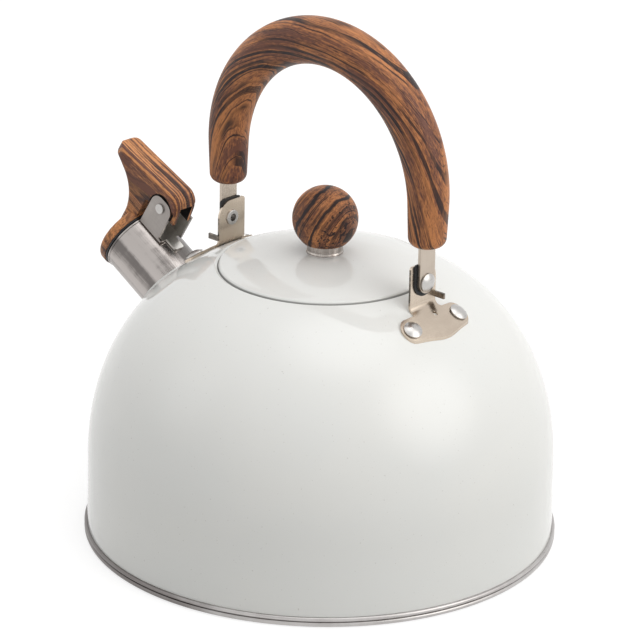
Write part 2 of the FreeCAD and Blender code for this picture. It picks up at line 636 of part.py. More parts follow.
def make_bracket_rivets():
    """Four domed rivets through the brackets' feet and the body, each with its set head inside."""
    seat = FIT + FLANGE_THICKNESS + SIDE_PLAY
    foot = Vector(0, 0, -BODY_WALL - BRACKET_RIVET_TAIL_GAP - BRACKET_RIVET_TAIL_HEIGHT)
    shank = Part.makeCylinder(BRACKET_RIVET_RADIUS - RIVET_SLIP, seat - foot.z + SIDE_PLAY, foot)
    head = rivet_head(BRACKET_RIVET_HEAD_RADIUS, BRACKET_RIVET_HEAD_HEIGHT).translated(Vector(0, 0, seat))
    tail = Part.makeCylinder(BRACKET_RIVET_TAIL_RADIUS, BRACKET_RIVET_TAIL_HEIGHT, foot)
    rivet = shank.fuse(head).fuse(tail).removeSplitter()
    rivets = []
    for side in (-1, 1):
        rear = square_to_dome(rivet, BRACKET_RIVET_X, side * BRACKET_RIVET_Y)
        rivets += [rear, to_front(rear)]
    return Part.makeCompound(rivets)


def rivet_holes():
    """What the four rivets take out of the brackets and the body's wall."""
    reach = 4 * (BODY_WALL + FLANGE_THICKNESS)
    hole = Part.makeCylinder(BRACKET_RIVET_RADIUS, reach, Vector(0, 0, -reach / 2))
    holes = []
    for side in (-1, 1):
        rear = square_to_dome(hole, BRACKET_RIVET_X, side * BRACKET_RIVET_Y)
        holes += [rear, to_front(rear)]
    return holes


def make_rear_pivot_rivet():
    """Semi-tubular hinge rivet: a domed head outside the strap, and a rolled tail inside the plate."""
    start = PLATE_INSIDE_X - PIVOT_TAIL_HEIGHT
    head_seat = STRAP_OUTSIDE_X + SIDE_PLAY
    shank = Part.makeCylinder(PIVOT_RADIUS, head_seat + RIVET_HEAD_RIM - start, Vector(0, 0, start))
    head = rivet_head(PIVOT_HEAD_RADIUS, PIVOT_HEAD_HEIGHT).translated(Vector(0, 0, head_seat))
    tail = Part.makeCylinder(PIVOT_TAIL_RADIUS, PIVOT_TAIL_HEIGHT, Vector(0, 0, start))
    tail = tail.makeFillet(PIVOT_TAIL_HEIGHT / 2, [edge_at(tail, start)])
    hollow = Part.makeCylinder(PIVOT_HOLE_RADIUS, PIVOT_HOLE_DEPTH, Vector(0, 0, start))
    rivet = shank.fuse(head).fuse(tail).cut(hollow).removeSplitter()
    return along_x(rivet, 0, 0, PIVOT_Z)


def make_rear_pivot_washer():
    """Black friction washer between plate and strap: round below the hinge and square above it."""
    half = WASHER_RADIUS
    pad = prism([
        (-half, PIVOT_Z - half, half - ALMOST),
        (half, PIVOT_Z - half, half - ALMOST),
        (half, PIVOT_Z + WASHER_RISE, WASHER_CORNER),
        (-half, PIVOT_Z + WASHER_RISE, WASHER_CORNER),
    ], 0, WASHER_THICKNESS)
    pad = upright(pad).translated(Vector(PLATE_OUTSIDE_X, 0, 0))
    eye = Part.makeCylinder(PIVOT_RADIUS + FIT, THROUGH)
    return pad.cut(along_x(eye, 0, 0, PIVOT_Z))


def make_rear_strap():
    """Flat steel strap: a round eye on the hinge rivet, and a tang moulded into the grip."""
    half = STRAP_WIDTH / 2
    top = GRIP_END_Z + STRAP_DEPTH_IN_GRIP
    bar = prism([
        (-half, PIVOT_Z - half, half - ALMOST),
        (half, PIVOT_Z - half, half - ALMOST),
        (half, top, STRAP_THICKNESS),
        (-half, top, STRAP_THICKNESS),
    ], 0, STRAP_THICKNESS)
    bar = upright(bar).translated(Vector(STRAP_INSIDE_X, 0, 0))
    eye = Part.makeCylinder(PIVOT_RADIUS + RUNNING_FIT, THROUGH)
    anchor = Part.makeCylinder(ANCHOR_HOLE_RADIUS, THROUGH)
    bar = bar.cut(along_x(eye, PLATE_INSIDE_X, 0, PIVOT_Z))
    return bar.cut(along_x(anchor, PLATE_INSIDE_X, 0, top - ANCHOR_HOLE_FROM_END))


def make_handle_grip():
    """Arched grip lofted through round sections, slimmer at its ends, with a slot for each strap."""
    leg = GRIP_ARCH_Z - GRIP_END_Z
    half_arch = math.pi * GRIP_SPREAD / 2
    drops = [leg * (1 - step / GRIP_LEG_STEPS) for step in range(GRIP_LEG_STEPS)]
    stations = [(-1, drop) for drop in drops]
    stations += [(0, step / GRIP_ARCH_STEPS) for step in range(GRIP_ARCH_STEPS + 1)]
    stations += [(1, drop) for drop in reversed(drops)]
    sections = []
    for zone, at in stations:
        if zone == 0:
            angle = math.pi * (1 - at)
            centre = Vector(GRIP_SPREAD * math.cos(angle), 0, GRIP_ARCH_Z + GRIP_SPREAD * math.sin(angle))
            normal = Vector(math.sin(angle), 0, -math.cos(angle))
            from_crown = half_arch * abs(2 * at - 1)
        else:
            centre = Vector(zone * GRIP_SPREAD, 0, GRIP_ARCH_Z - at)
            normal = Vector(0, 0, -zone)
            from_crown = half_arch + at
        thinning = (from_crown / (half_arch + leg)) ** GRIP_THINNING_POWER
        radius = GRIP_CROWN_RADIUS - (GRIP_CROWN_RADIUS - GRIP_END_RADIUS) * thinning
        sections.append(Part.Wire(Part.makeCircle(radius, centre, normal)))
    grip = Part.makeLoft(sections, True, False)
    grip = grip.makeFillet(GRIP_END_ROUND, [e for e in grip.Edges if lies_at(e, z=GRIP_END_Z)])
    slot = Part.makeBox(
        STRAP_THICKNESS + 2 * FIT,
        STRAP_WIDTH + 2 * FIT,
        STRAP_DEPTH_IN_GRIP + GRIP_END_ROUND + FIT,
        Vector(STRAP_INSIDE_X - FIT, -STRAP_WIDTH / 2 - FIT, GRIP_END_Z - GRIP_END_ROUND),
    )
    return grip.cut(slot).cut(to_front(slot))


# ---------------------------------------------------------------- cap, lever and yoke
# Everything here is built in the spout's frame and put in place by on_spout
def slab(corners, low_y, high_y):
    """Plate square to Y from an outline given as (over, along, rounding)."""
    flat = prism([(over, -along, rounding) for over, along, rounding in corners], low_y, high_y)
    return flat.rotated(ORIGIN, Vector(1, 0, 0), -90)


def cross_pin(radius, half_length):
    """Cylinder along the lever's hinge, the same length to both sides."""
    end = Vector(PIN_OVER, -half_length, PIN_ALONG)
    return Part.makeCylinder(radius, 2 * half_length, end, Vector(0, 1, 0))


def make_spout_yoke():
    """Folded steel yoke: a base and a foot that lie on the spout, and two ears for the hinge pin."""
    front = PIN_ALONG + YOKE_EAR_HALF
    back = PIN_ALONG - YOKE_EAR_HALF
    top = PIN_OVER + YOKE_EAR_RISE
    block = slab([
        (YOKE_BASE, back, 0),
        (top, back, YOKE_EAR_ROUND),
        (top, front, YOKE_EAR_ROUND),
        (YOKE_BASE, front, 0.5 * YOKE_SHEET),
    ], -YOKE_OUTSIDE, YOKE_OUTSIDE)
    channel = Vector(YOKE_BASE + YOKE_SHEET, -YOKE_INSIDE, PIN_ALONG - THROUGH / 2)
    ears = block.cut(Part.makeBox(THROUGH, 2 * YOKE_INSIDE, THROUGH, channel))
    # The base goes on behind the ears, and then narrows to the foot
    base_back = back - YOKE_BASE_TAIL
    base = behind_pin(YOKE_SHEET, -YOKE_OUTSIDE, YOKE_OUTSIDE, base_back)
    foot_back = base_back - YOKE_FOOT_LENGTH
    foot = behind_pin(YOKE_SHEET, -YOKE_FOOT_WIDTH / 2, YOKE_FOOT_WIDTH / 2, foot_back)
    corners = [e for e in foot.Edges if lies_at(e, z=foot_back) and e.BoundBox.XLength > 0.5 * YOKE_SHEET]
    foot = foot.makeFillet(YOKE_FOOT_ROUND, corners)
    # The ear on the +Y side reaches further back, up to just under the pin
    tail_height = PIN_OVER - YOKE_TAIL_DROP - YOKE_BASE
    tail = behind_pin(tail_height, YOKE_INSIDE, YOKE_OUTSIDE, back - YOKE_EAR_TAIL)
    yoke = ears.fuse(base).fuse(foot).fuse(tail).removeSplitter()
    return on_spout(yoke.cut(cross_pin(PIN_RADIUS + FIT, THROUGH / 2)))


def behind_pin(height, low_y, high_y, back):
    """Block that stands on the yoke's base level, from under the pin back to a place along the spout."""
    return Part.makeBox(height, high_y - low_y, PIN_ALONG - back, Vector(YOKE_BASE, low_y, back))


def lies_at(edge, x=None, y=None, z=None):
    """Whether an edge lies wholly at the given coordinates."""
    box = edge.BoundBox
    for wanted, low, high in ((x, box.XMin, box.XMax), (y, box.YMin, box.YMax), (z, box.ZMin, box.ZMax)):
        if wanted is not None and (abs(low - wanted) > 1e-4 or abs(high - wanted) > 1e-4):
            return False
    return True


def make_lever_pin():
    """Hinge pin with a flat round head outside each ear."""
    outside = YOKE_OUTSIDE + FIT
    pin = cross_pin(PIN_RADIUS, outside)
    head = Part.makeCylinder(PIN_HEAD_RADIUS, PIN_HEAD_HEIGHT)
    head = head.makeFillet(0.3, [edge_at(head, PIN_HEAD_HEIGHT)])
    for side in (-1, 1):
        placed = head.rotated(ORIGIN, Vector(1, 0, 0), -90 * side)
        pin = pin.fuse(placed.translated(Vector(PIN_OVER, side * outside, PIN_ALONG)))
    return on_spout(pin.removeSplitter())


def make_lever_spring():
    """Torsion spring: a close coil around the pin, and two legs."""
    pitch = 2 * SPRING_WIRE
    half = COIL_COUNT * SPRING_WIRE
    inner = PIN_RADIUS + 3 * FIT
    coil = None
    for turn in range(COIL_COUNT):
        middle = -half + pitch * (turn + 0.5)
        loop = Part.makeTorus(SPRING_COIL, SPRING_WIRE * COIL_OVERLAP, Vector(0, 0, middle))
        coil = loop if coil is None else coil.fuse(loop)
    coil = coil.cut(Part.makeCylinder(inner, THROUGH, Vector(0, 0, -THROUGH / 2)))
    coil = coil.rotated(ORIGIN, Vector(1, 0, 0), -90).translated(Vector(PIN_OVER, 0, PIN_ALONG))
    end_y = half - SPRING_WIRE
    on_base = YOKE_BASE + YOKE_SHEET + SPRING_WIRE + SIDE_PLAY
    at_neck = LEVER_NECK_REAR - SPRING_WIRE - LEG_PLAY
    rear_leg = (
        Vector(PIN_OVER, -end_y, PIN_ALONG - SPRING_COIL),
        Vector(on_base, -end_y, PIN_ALONG - SPRING_COIL - REAR_LEG_SPLAY),
    )
    front_leg = (
        Vector(PIN_OVER, end_y, PIN_ALONG + SPRING_COIL),
        Vector(PIN_OVER - FRONT_LEG_DROP, end_y, at_neck),
    )
    for start, end in (rear_leg, front_leg):
        reach = end - start
        leg = Part.makeCylinder(SPRING_WIRE, reach.Length, start, reach)
        coil = coil.fuse(leg).fuse(Part.makeSphere(SPRING_WIRE, end))
    return on_spout(coil.removeSplitter())


def make_cap_lever():
    """Cap and thumb lever in one moulding: a disc over the mouth, a neck, and a bar with a pocket."""
    half = LEVER_HALF_WIDTH
    back_foot = LEVER_BACK_ALONG - LEVER_BACK_SLANT
    side = slab([
        (LEVER_TIP_OVER, LEVER_TIP_ALONG, LEVER_TIP_NOSE),
        (LEVER_BACK_OVER, LEVER_BACK_ALONG, LEVER_BACK_ROUND),
        (LEVER_UNDERSIDE, back_foot, 0),
        (LEVER_UNDERSIDE, LEVER_NECK_REAR, LEVER_UNDERSIDE_ROUND),
        (LEVER_FOOT_OVER, LEVER_NECK_REAR, 0),
        (LEVER_FOOT_OVER, LEVER_NECK_FRONT, 0),
        (LEVER_THROAT_OVER, LEVER_NECK_FRONT, LEVER_THROAT_ROUND),
        (LEVER_TIP_OVER - LEVER_TIP_THICKNESS, LEVER_TIP_ALONG, LEVER_TIP_CHIN),
    ], -half, half)
    high = [e for e in side.Edges if e.BoundBox.XMin > POCKET_CEILING]
    tops = [e for e in high if e.BoundBox.ZLength > LEVER_TIP_ALONG]
    bar = side.makeFillet(LEVER_EDGE_ROUND, tops)
    plan = plan_prism([
        (LEVER_TIP_ALONG, -half, LEVER_TIP_ROUND),
        (LEVER_TIP_ALONG, half, LEVER_TIP_ROUND),
        (back_foot, half, LEVER_EDGE_ROUND),
        (back_foot, -half, LEVER_EDGE_ROUND),
    ])
    lever = bar.common(plan).fuse(make_cap_blank()).removeSplitter()
    # The pocket for the spring, open to the rear and underneath
    pocket = slab([
        (POCKET_CEILING, POCKET_FRONT, POCKET_CEILING_ROUND),
        (POCKET_CEILING, -THROUGH, 0),
        (CAP_RADIUS, -THROUGH, 0),
        (CAP_RADIUS, POCKET_FRONT, 0),
    ], -POCKET_HALF_WIDTH, POCKET_HALF_WIDTH)
    lever = lever.cut(pocket)
    lever = lever.cut(ear_recess(YOKE_EAR_TAIL)).cut(ear_recess(0).mirror(ORIGIN, Vector(0, 1, 0)))
    lever = lever.cut(cross_pin(PIN_RADIUS + RUNNING_FIT, THROUGH / 2))
    # The whistle's pocket in the cap's back, and the vent through its front
    whistle = Part.makeCylinder(WHISTLE_RADIUS + FIT, WHISTLE_DEPTH, Vector(0, 0, CAP_BACK))
    vent = Part.makeCylinder(VENT_RADIUS, CAP_THICKNESS + CAP_CROWN + 1, Vector(0, 0, CAP_BACK))
    return on_spout(lever.cut(whistle).cut(vent).removeSplitter())


def plan_prism(corners):
    """Prism over the spout from an outline given as (along, across, rounding)."""
    flat = prism([(-along, across, rounding) for along, across, rounding in corners], 0, THROUGH)
    return flat.rotated(ORIGIN, Vector(0, 1, 0), 90)


def make_cap_blank():
    """The cap's disc, crowned in front, with a rounded rim."""
    return turned_outline([
        (0, CAP_BACK, 0),
        (CAP_RADIUS, CAP_BACK, 0.3),
        (CAP_RADIUS, CAP_FRONT, CAP_ROUND),
        (0.6 * CAP_RADIUS, CAP_FRONT + 0.8 * CAP_CROWN, CAP_CROWN_ROUND),
        (0, CAP_FRONT + CAP_CROWN, 0),
    ])


def ear_recess(tail):
    """Room in the lever's +Y flank for a yoke's ear with a tail, from shut to fully open."""
    radius = math.hypot(YOKE_EAR_HALF - YOKE_EAR_ROUND, YOKE_EAR_RISE - YOKE_EAR_ROUND)
    radius += YOKE_EAR_ROUND + EAR_CLEARANCE
    depth = LEVER_HALF_WIDTH - LEVER_WAIST + 1
    back = YOKE_EAR_HALF + tail + EAR_CLEARANCE
    # Drawn with X along the spout and Y over it, about the pin
    ear = Part.makeBox(2 * radius, THROUGH, depth, Vector(-radius, -THROUGH, 0))
    behind = Part.makeBox(back, THROUGH, depth, Vector(-back, EAR_CLEARANCE - YOKE_TAIL_DROP - THROUGH, 0))
    ear = ear.fuse(behind)
    sweep = Part.makeCylinder(radius, depth)
    for step in range(RECESS_STEPS + 1):
        sweep = sweep.fuse(ear.rotated(ORIGIN, AXIS, -OPEN_ANGLE * step / RECESS_STEPS))
    turn = Matrix(0, 1, 0, PIN_OVER, 0, 0, 1, LEVER_WAIST, 1, 0, 0, PIN_ALONG, 0, 0, 0, 1)
    sweep.Placement = FreeCAD.Placement(turn).multiply(sweep.Placement)
    return sweep


def make_cap_gasket():
    """Black rubber ring between the cap and the spout's mouth."""
    return on_spout(ring(GASKET_INNER_RADIUS, CAP_RADIUS - GASKET_INSET, GASKET_BACK, CAP_BACK))


def make_whistle_disc():
    """Whistle's inner face: a pierced disc with a turned rim, towards the spout."""
    back = CAP_BACK + SIDE_PLAY
    rim = ring(WHISTLE_RADIUS - WHISTLE_SHEET, WHISTLE_RADIUS, back, CAP_BACK + WHISTLE_GAP)
    face = ring(WHISTLE_HOLE_RADIUS, WHISTLE_RADIUS, back, back + WHISTLE_SHEET)
    return on_spout(rim.fuse(face).removeSplitter())


def make_whistle_cup():
    """Whistle's outer face: the second pierced disc, against the pocket's floor."""
    low = CAP_BACK + WHISTLE_GAP
    return on_spout(ring(WHISTLE_HOLE_RADIUS, WHISTLE_RADIUS, low, low + WHISTLE_SHEET))


# ---------------------------------------------------------------- the pieces
def both_ends(shape):
    """The rear piece and the same piece at the front."""
    return shape, to_front(shape)


rear_bracket, front_bracket = both_ends(make_rear_bracket())
rear_rivet, front_rivet = both_ends(make_rear_pivot_rivet())
rear_washer, front_washer = both_ends(make_rear_pivot_washer())
rear_strap, front_strap = both_ends(make_rear_strap())

nodes = {
    "body_shell": make_body_shell(),
    "base_pan": make_base_pan(),
    "base_disc": make_base_disc(),
    "spout_tube": make_spout_tube(),
    "lid_shell": make_lid_shell(),
    "lid_skirt": make_lid_skirt(),
    "knob_ball": make_knob_ball(),
    "knob_collar": make_knob_collar(),
    "knob_washer": make_knob_washer(),
    "knob_screw": make_knob_screw(),
    "bracket_front": front_bracket,
    "bracket_rear": rear_bracket,
    "bracket_rivets": make_bracket_rivets(),
    "hinge_rivet_front": front_rivet,
    "hinge_rivet_rear": rear_rivet,
    "hinge_washer_front": front_washer,
    "hinge_washer_rear": rear_washer,
    "handle_strap_front": front_strap,
    "handle_strap_rear": rear_strap,
    "handle_grip": make_handle_grip(),
    "spout_yoke": make_spout_yoke(),
    "lever_pin": make_lever_pin(),
    "lever_spring": make_lever_spring(),
    "cap_lever": make_cap_lever(),
    "cap_gasket": make_cap_gasket(),
    "whistle_disc": make_whistle_disc(),
    "whistle_cup": make_whistle_cup(),
}

for name, shape in nodes.items():
    solid = shape.Solids[0] if len(shape.Solids) == 1 else shape
    solid.exportStep("parts/" + name + ".step")
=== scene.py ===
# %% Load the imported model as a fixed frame
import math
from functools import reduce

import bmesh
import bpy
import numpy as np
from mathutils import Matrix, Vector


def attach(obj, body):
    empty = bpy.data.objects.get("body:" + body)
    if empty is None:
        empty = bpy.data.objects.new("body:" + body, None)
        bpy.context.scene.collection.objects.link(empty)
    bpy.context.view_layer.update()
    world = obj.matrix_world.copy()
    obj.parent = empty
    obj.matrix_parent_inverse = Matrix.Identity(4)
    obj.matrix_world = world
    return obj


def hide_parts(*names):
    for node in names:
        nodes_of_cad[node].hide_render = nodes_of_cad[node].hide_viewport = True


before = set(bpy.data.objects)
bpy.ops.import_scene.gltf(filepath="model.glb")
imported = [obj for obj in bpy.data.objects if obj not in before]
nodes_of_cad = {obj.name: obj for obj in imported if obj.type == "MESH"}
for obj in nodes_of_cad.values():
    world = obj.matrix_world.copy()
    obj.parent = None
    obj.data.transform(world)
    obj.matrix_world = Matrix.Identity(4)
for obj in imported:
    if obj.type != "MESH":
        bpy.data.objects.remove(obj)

# %% [markdown]
# # A stovetop whistling kettle
#
# The kettle's bodies, joints and small steel pieces come from a CAD model, which the frame above has just
# loaded. This lesson dresses them. The enamel, the wood-look grip and knob and the steel spout are large
# smooth forms on which every reflection shows, so they are built again here as fine meshes that stand for
# the CAD pieces. The brackets, rivets, straps, yoke and cap keep their CAD meshes and get a finish.
#
# Everything is in metres. Up is +Z, the spout points to -X, and the handle lies in the XZ plane. Sizes are
# written in millimetres and turned into metres when a mesh is made.

MM = 0.001
SIDEWAYS = Vector((0, 1, 0))
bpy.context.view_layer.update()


def in_scene(name, data):
    """A new object in the scene."""
    made = bpy.data.objects.new(name, data)
    bpy.context.scene.collection.objects.link(made)
    return made


# %% [markdown]
# ## Camera
#
# A product shot of a kettle is taken with a long lens from a few steps away, a little above the lid, so
# that the rim shows as a flat ellipse and the dome keeps its true proportions. A short lens close by would
# swell the front of the dome. The camera looks at a point in the middle of the kettle and is tipped by
# about a degree.

# %% Place the camera
EYE = Vector((1.0597, -1.1728, 0.7256))
AIM = Vector((-0.00094, -0.00127, 0.10301))
LEAN = math.radians(1.074)
LENS = 208.27
SENSOR = 36.0
camera_data = bpy.data.cameras.new("studio_camera")
camera_data.lens = LENS
camera_data.sensor_width = SENSOR
camera = in_scene("studio_camera", camera_data)
looking = (AIM - EYE).to_track_quat("-Z", "Y")
camera.location = EYE
camera.rotation_euler = (looking @ Matrix.Rotation(LEAN, 3, "Z").to_quaternion()).to_euler()
bpy.context.scene.camera = camera
print("the camera stands", round((AIM - EYE).length, 2), "m away, with a lens of", LENS, "mm")

# %% [markdown]
# ## Shaping tools
#
# A kettle is mostly turned work: a spinner presses a disc over a form, and every ring of it is round. In
# Blender the Screw or Spin tool would do this by hand. A small function that turns an outline is easier to
# steer, because the outline can be drawn with rounded corners from a handful of sizes.

# %% Mesh from points and faces
SMALLEST_EDGE = 1e-7
CREASE = math.radians(35)


def shaped(points, faces):
    """A mesh in the making, from points and faces."""
    making = bmesh.new()
    verts = [making.verts.new(p) for p in points]
    for face in faces:
        making.faces.new([verts[corner] for corner in face])
    return making


def finished(name, making):
    """A smooth-shaded object whose edges stay crisp where two faces meet at more than the crease angle."""
    bmesh.ops.remove_doubles(making, verts=making.verts, dist=SMALLEST_EDGE)
    bmesh.ops.recalc_face_normals(making, faces=making.faces)
    mesh = bpy.data.meshes.new(name)
    making.to_mesh(mesh)
    making.free()
    mesh.shade_smooth()
    mesh.set_sharp_from_angle(angle=CREASE)
    print(name, "has", len(mesh.polygons), "faces")
    return in_scene(name, mesh)


def grid_faces(rows, columns, shut_rows=True, first=0):
    """Faces of a grid of points whose rows are rings; the last row may join the first, as on a tyre."""
    faces = []
    for row in range(rows if shut_rows else rows - 1):
        here = first + row * columns
        below = first + (row + 1) % rows * columns
        for column in range(columns):
            beside = (column + 1) % columns
            faces.append((here + column, here + beside, below + beside, below + column))
    return faces


# %% Outlines with rounded corners
def rounded(corners, steps=5):
    """Points of an outline through (x, y, rounding) corners, each corner turned into an arc."""
    points = []
    for i, (x, y, rounding) in enumerate(corners):
        corner = Vector((x, y))
        if rounding == 0:
            points.append(corner)
            continue
        before = (Vector(corners[i - 1][:2]) - corner).normalized()
        after = (Vector(corners[(i + 1) % len(corners)][:2]) - corner).normalized()
        half = before.angle(after) / 2
        reach = rounding / math.tan(half)
        centre = corner + (before + after).normalized() * (rounding / math.sin(half))
        start = corner + before * reach - centre
        end = corner + after * reach - centre
        turn = start.angle_signed(end)
        for step in range(steps + 1):
            spin = Matrix.Rotation(-turn * step / steps, 2)
            points.append(centre + spin @ start)
    return points


def once_around(steps):
    """Angles of equal steps once around."""
    return [2 * math.pi * turn / steps for turn in range(steps)]


def ring_points(outline, segments, place=None):
    """Rings of points about a frame's Z axis, one for each (radius, height) of an outline in millimetres."""
    points = []
    for radius, height in outline:
        for angle in once_around(segments):
            points.append(Vector((radius * math.cos(angle), radius * math.sin(angle), height)) * MM)
    return points if place is None else [place @ p for p in points]


def lathe(name, outline, segments=256, place=None):
    """Turns a closed (radius, height) outline in millimetres about the Z axis of a frame."""
    points = ring_points(outline, segments, place)
    return finished(name, shaped(points, grid_faces(len(outline), segments)))


# %% [markdown]
# ## The dome
#
# The body is pressed over a full, slightly square dome. Its section is a superellipse: two powers, one
# across and one upwards, say how far the shoulder fills out. One function for its height serves the body,
# the lid that carries the same curve on, and the spout's neck that grows out of it.

# %% Sizes of the dome
BELT_RADIUS = 108.3  # where the dome meets the wall
FOOT_FLARE = 0.4  # how far the wall's foot stands out past the belt
BELT_Z = 37.0
CROWN_Z = 136.8
RADIAL_POWER = 2.51
HEIGHT_POWER = 2.09
WALL = 1.0
LID_RADIUS = 48.4
SEAT_RADIUS = 48.9
MOUTH_RADIUS = 43.5
LEDGE_DROP = 3.0  # from the dome down to the ledge that the lid rests on
MOUTH_DEPTH = 7.0  # from the ledge down to the mouth's lower edge
EDGE_ROUND = 1.3
FLOOR_Z = 3.8


def dome_z(radius, offset=0.0):
    """Height of the dome at a radius; an offset moves the surface outwards."""
    share = (radius / (BELT_RADIUS + offset)) ** RADIAL_POWER
    return BELT_Z + (CROWN_Z + offset - BELT_Z) * (1 - share) ** (1 / HEIGHT_POWER)


def dome_radius(height):
    """Radius of the dome at a height."""
    share = ((height - BELT_Z) / (CROWN_Z - BELT_Z)) ** HEIGHT_POWER
    return BELT_RADIUS * (1 - share) ** (1 / RADIAL_POWER)


def dome_outline(start_radius, offset=0.0, steps=72):
    """Points down the dome's section, from a radius near the crown to the belt."""
    belt = BELT_RADIUS + offset
    first = math.acos((start_radius / belt) ** (RADIAL_POWER / 2))
    points = []
    for step in range(steps + 1):
        angle = first * (1 - step / steps)
        points.append(Vector((
            belt * math.cos(angle) ** (2 / RADIAL_POWER),
            BELT_Z + (CROWN_Z + offset - BELT_Z) * math.sin(angle) ** (2 / HEIGHT_POWER),
        )))
    return points


ledge = dome_z(SEAT_RADIUS) - LEDGE_DROP
print("the dome is", round(dome_z(SEAT_RADIUS), 1), "mm high at the lid's seat")

# %% [markdown]
# ## The spout's frame
#
# The spout leaves the dome square to it, so it has an axis of its own. A 4 x 4 matrix turns a piece that
# was made standing upright at the origin so that it stands on that axis, with its top at the spout's mouth.
# The same frame serves the neck, the tube and everything on them.

# %% Sizes of the spout
SPOUT_TILT = math.radians(31.3)
SPOUT_ROOT_Z = 93.618  # where the axis leaves the dome
SPOUT_REACH = 33.073  # from there to the mouth
SPOUT_INSIDE = 6.9  # from there into the body
SPOUT_RADIUS = 16.7
SPOUT_WALL = 0.7
NECK_HEIGHT = 3.2
NECK_SLANT = math.radians(7.5)  # of the neck's top, against square
NECK_ROUND = 4.0
FIT = 0.05  # between pieces that are pressed together

along = Vector((-math.cos(SPOUT_TILT), 0, math.sin(SPOUT_TILT)))
over = Vector((math.sin(SPOUT_TILT), 0, math.cos(SPOUT_TILT)))
spout_root = Vector((-dome_radius(SPOUT_ROOT_Z), 0, SPOUT_ROOT_Z))
spout_mouth = spout_root + along * SPOUT_REACH
on_spout = Matrix((
    (over.x, 0, along.x, spout_mouth.x * MM),
    (0, 1, 0, 0),
    (over.z, 0, along.z, spout_mouth.z * MM),
    (0, 0, 0, 1),
))
print("the spout's mouth is at", [round(c, 1) for c in spout_mouth])

# %% [markdown]
# ## The neck
#
# Around the spout the enamelled sheet is drawn up into a short neck that runs out into the dome in a hollow
# curve. A ball rolled around the foot of the tube, always touching both the tube and the dome, has just
# that curve as its track. So each section of the neck is found by rolling a ball: its centre is moved along
# the tube until it is one ball's radius away from the dome, and the arc between the two points that it
# touches is the neck.

# %% Roll a ball around the spout
HALVINGS = 40
DEEPEST_BALL = 25.0  # past the spout's root


def nearest_on_dome(section, centre):
    """The dome's nearest point to a centre, and how far away it is."""
    reach = math.hypot(centre.x, centre.y)
    away = np.hypot(section[:, 0] - reach, section[:, 1] - centre.z)
    closest = int(away.argmin())
    r, z = section[closest]
    return Vector((centre.x * r / reach, centre.y * r / reach, z)), away[closest]


def rolled_ball(section, side, ball):
    """Centre of a ball that comes down a line beside the spout until it touches the dome."""
    low, high = -SPOUT_REACH - DEEPEST_BALL, 0.0
    for _ in range(HALVINGS):
        middle = (low + high) / 2
        if nearest_on_dome(section, side + along * middle)[1] < ball:
            low = middle
        else:
            high = middle
    return side + along * high


print("a ball is placed to within", (SPOUT_REACH + DEEPEST_BALL) / 2 ** HALVINGS, "mm")

# %% Draw the neck
NECK_SEGMENTS = 144
ARC_STEPS = 12
STRAIGHT_STEPS = 3
SECTION_FROM = 20.0
SECTION_STEPS = 3000


def neck_rings(radius, ball, offset):
    """Rings of points in millimetres down a neck around the spout, from its slanted top to the dome."""
    section = np.array([p[:] for p in dome_outline(SECTION_FROM, offset, SECTION_STEPS)])
    columns = []
    for angle in once_around(NECK_SEGMENTS):
        outwards = over * math.cos(angle) + SIDEWAYS * math.sin(angle)
        centre = rolled_ball(section, spout_mouth + outwards * (radius + ball), ball)
        on_dome, _ = nearest_on_dome(section, centre)
        on_tube = centre - outwards * ball
        top = NECK_HEIGHT - SPOUT_REACH - radius * math.cos(angle) * math.tan(NECK_SLANT)
        top_point = spout_mouth + outwards * radius + along * top
        column = [top_point.lerp(on_tube, step / STRAIGHT_STEPS) for step in range(STRAIGHT_STEPS)]
        start, end = on_tube - centre, on_dome - centre
        full = start.angle(end)
        for step in range(ARC_STEPS + 1):
            share = step / ARC_STEPS
            between = start * math.sin((1 - share) * full) + end * math.sin(share * full)
            column.append(centre + between / math.sin(full))
        columns.append(column)
    return [[column[row] for column in columns] for row in range(len(columns[0]))]


outer_neck = neck_rings(SPOUT_RADIUS + FIT + WALL, NECK_ROUND, 0.0)
inner_neck = neck_rings(SPOUT_RADIUS + FIT, NECK_ROUND + WALL, -WALL)
neck_foot = outer_neck[-1]
print("the neck's foot is", round((neck_foot[0] - neck_foot[NECK_SEGMENTS // 2]).length, 1), "mm long")

# %% [markdown]
# ## The enamelled body
#
# The body is turned first, as one closed outline: down the outside, around the foot, up the inside and
# around the mouth. Then a window is cut where the neck stands, on the outside and on the inside, the neck's
# rings are put in, and the gap between the window's edge and the neck's foot is filled. Joining a tube to a
# dome with a Boolean would leave a hard crease there; cutting a window and bridging it keeps the hollow
# curve.

# %% Outline of the body
BODY_SEGMENTS = 320
SHEET_ROUND = 0.3
LEDGE_ROUND = 0.6
UNDER_LEDGE_ROUND = 0.4
SEAT_ROUND = EDGE_ROUND * 0.95  # a little less than the edge, so that the arc ends short of the dome
WALL_STEPS = 12
rim = SEAT_RADIUS + EDGE_ROUND
mouth = rounded([
    (MOUTH_RADIUS + WALL, ledge - WALL, UNDER_LEDGE_ROUND),
    (MOUTH_RADIUS + WALL, ledge - MOUTH_DEPTH, SHEET_ROUND),
    (MOUTH_RADIUS, ledge - MOUTH_DEPTH, SHEET_ROUND),
    (MOUTH_RADIUS, ledge, LEDGE_ROUND),
    (SEAT_RADIUS, ledge, SHEET_ROUND),
    (SEAT_RADIUS, dome_z(rim), SEAT_ROUND),
], steps=4)
outside = dome_outline(rim, steps=90)
inside = dome_outline(rim, -WALL, steps=60)
wall = [Vector((BELT_RADIUS + FOOT_FLARE * (1 - z / BELT_Z), z))
        for z in np.linspace(BELT_Z, FLOOR_Z, WALL_STEPS)[1:]]
inner_wall = [Vector((wall[-1].x - WALL, FLOOR_Z))]
outline = mouth + outside + wall + inner_wall + inside[::-1]
first_inside = len(mouth) + len(outside) + len(wall)
print("the body's outline has", len(outline), "points")

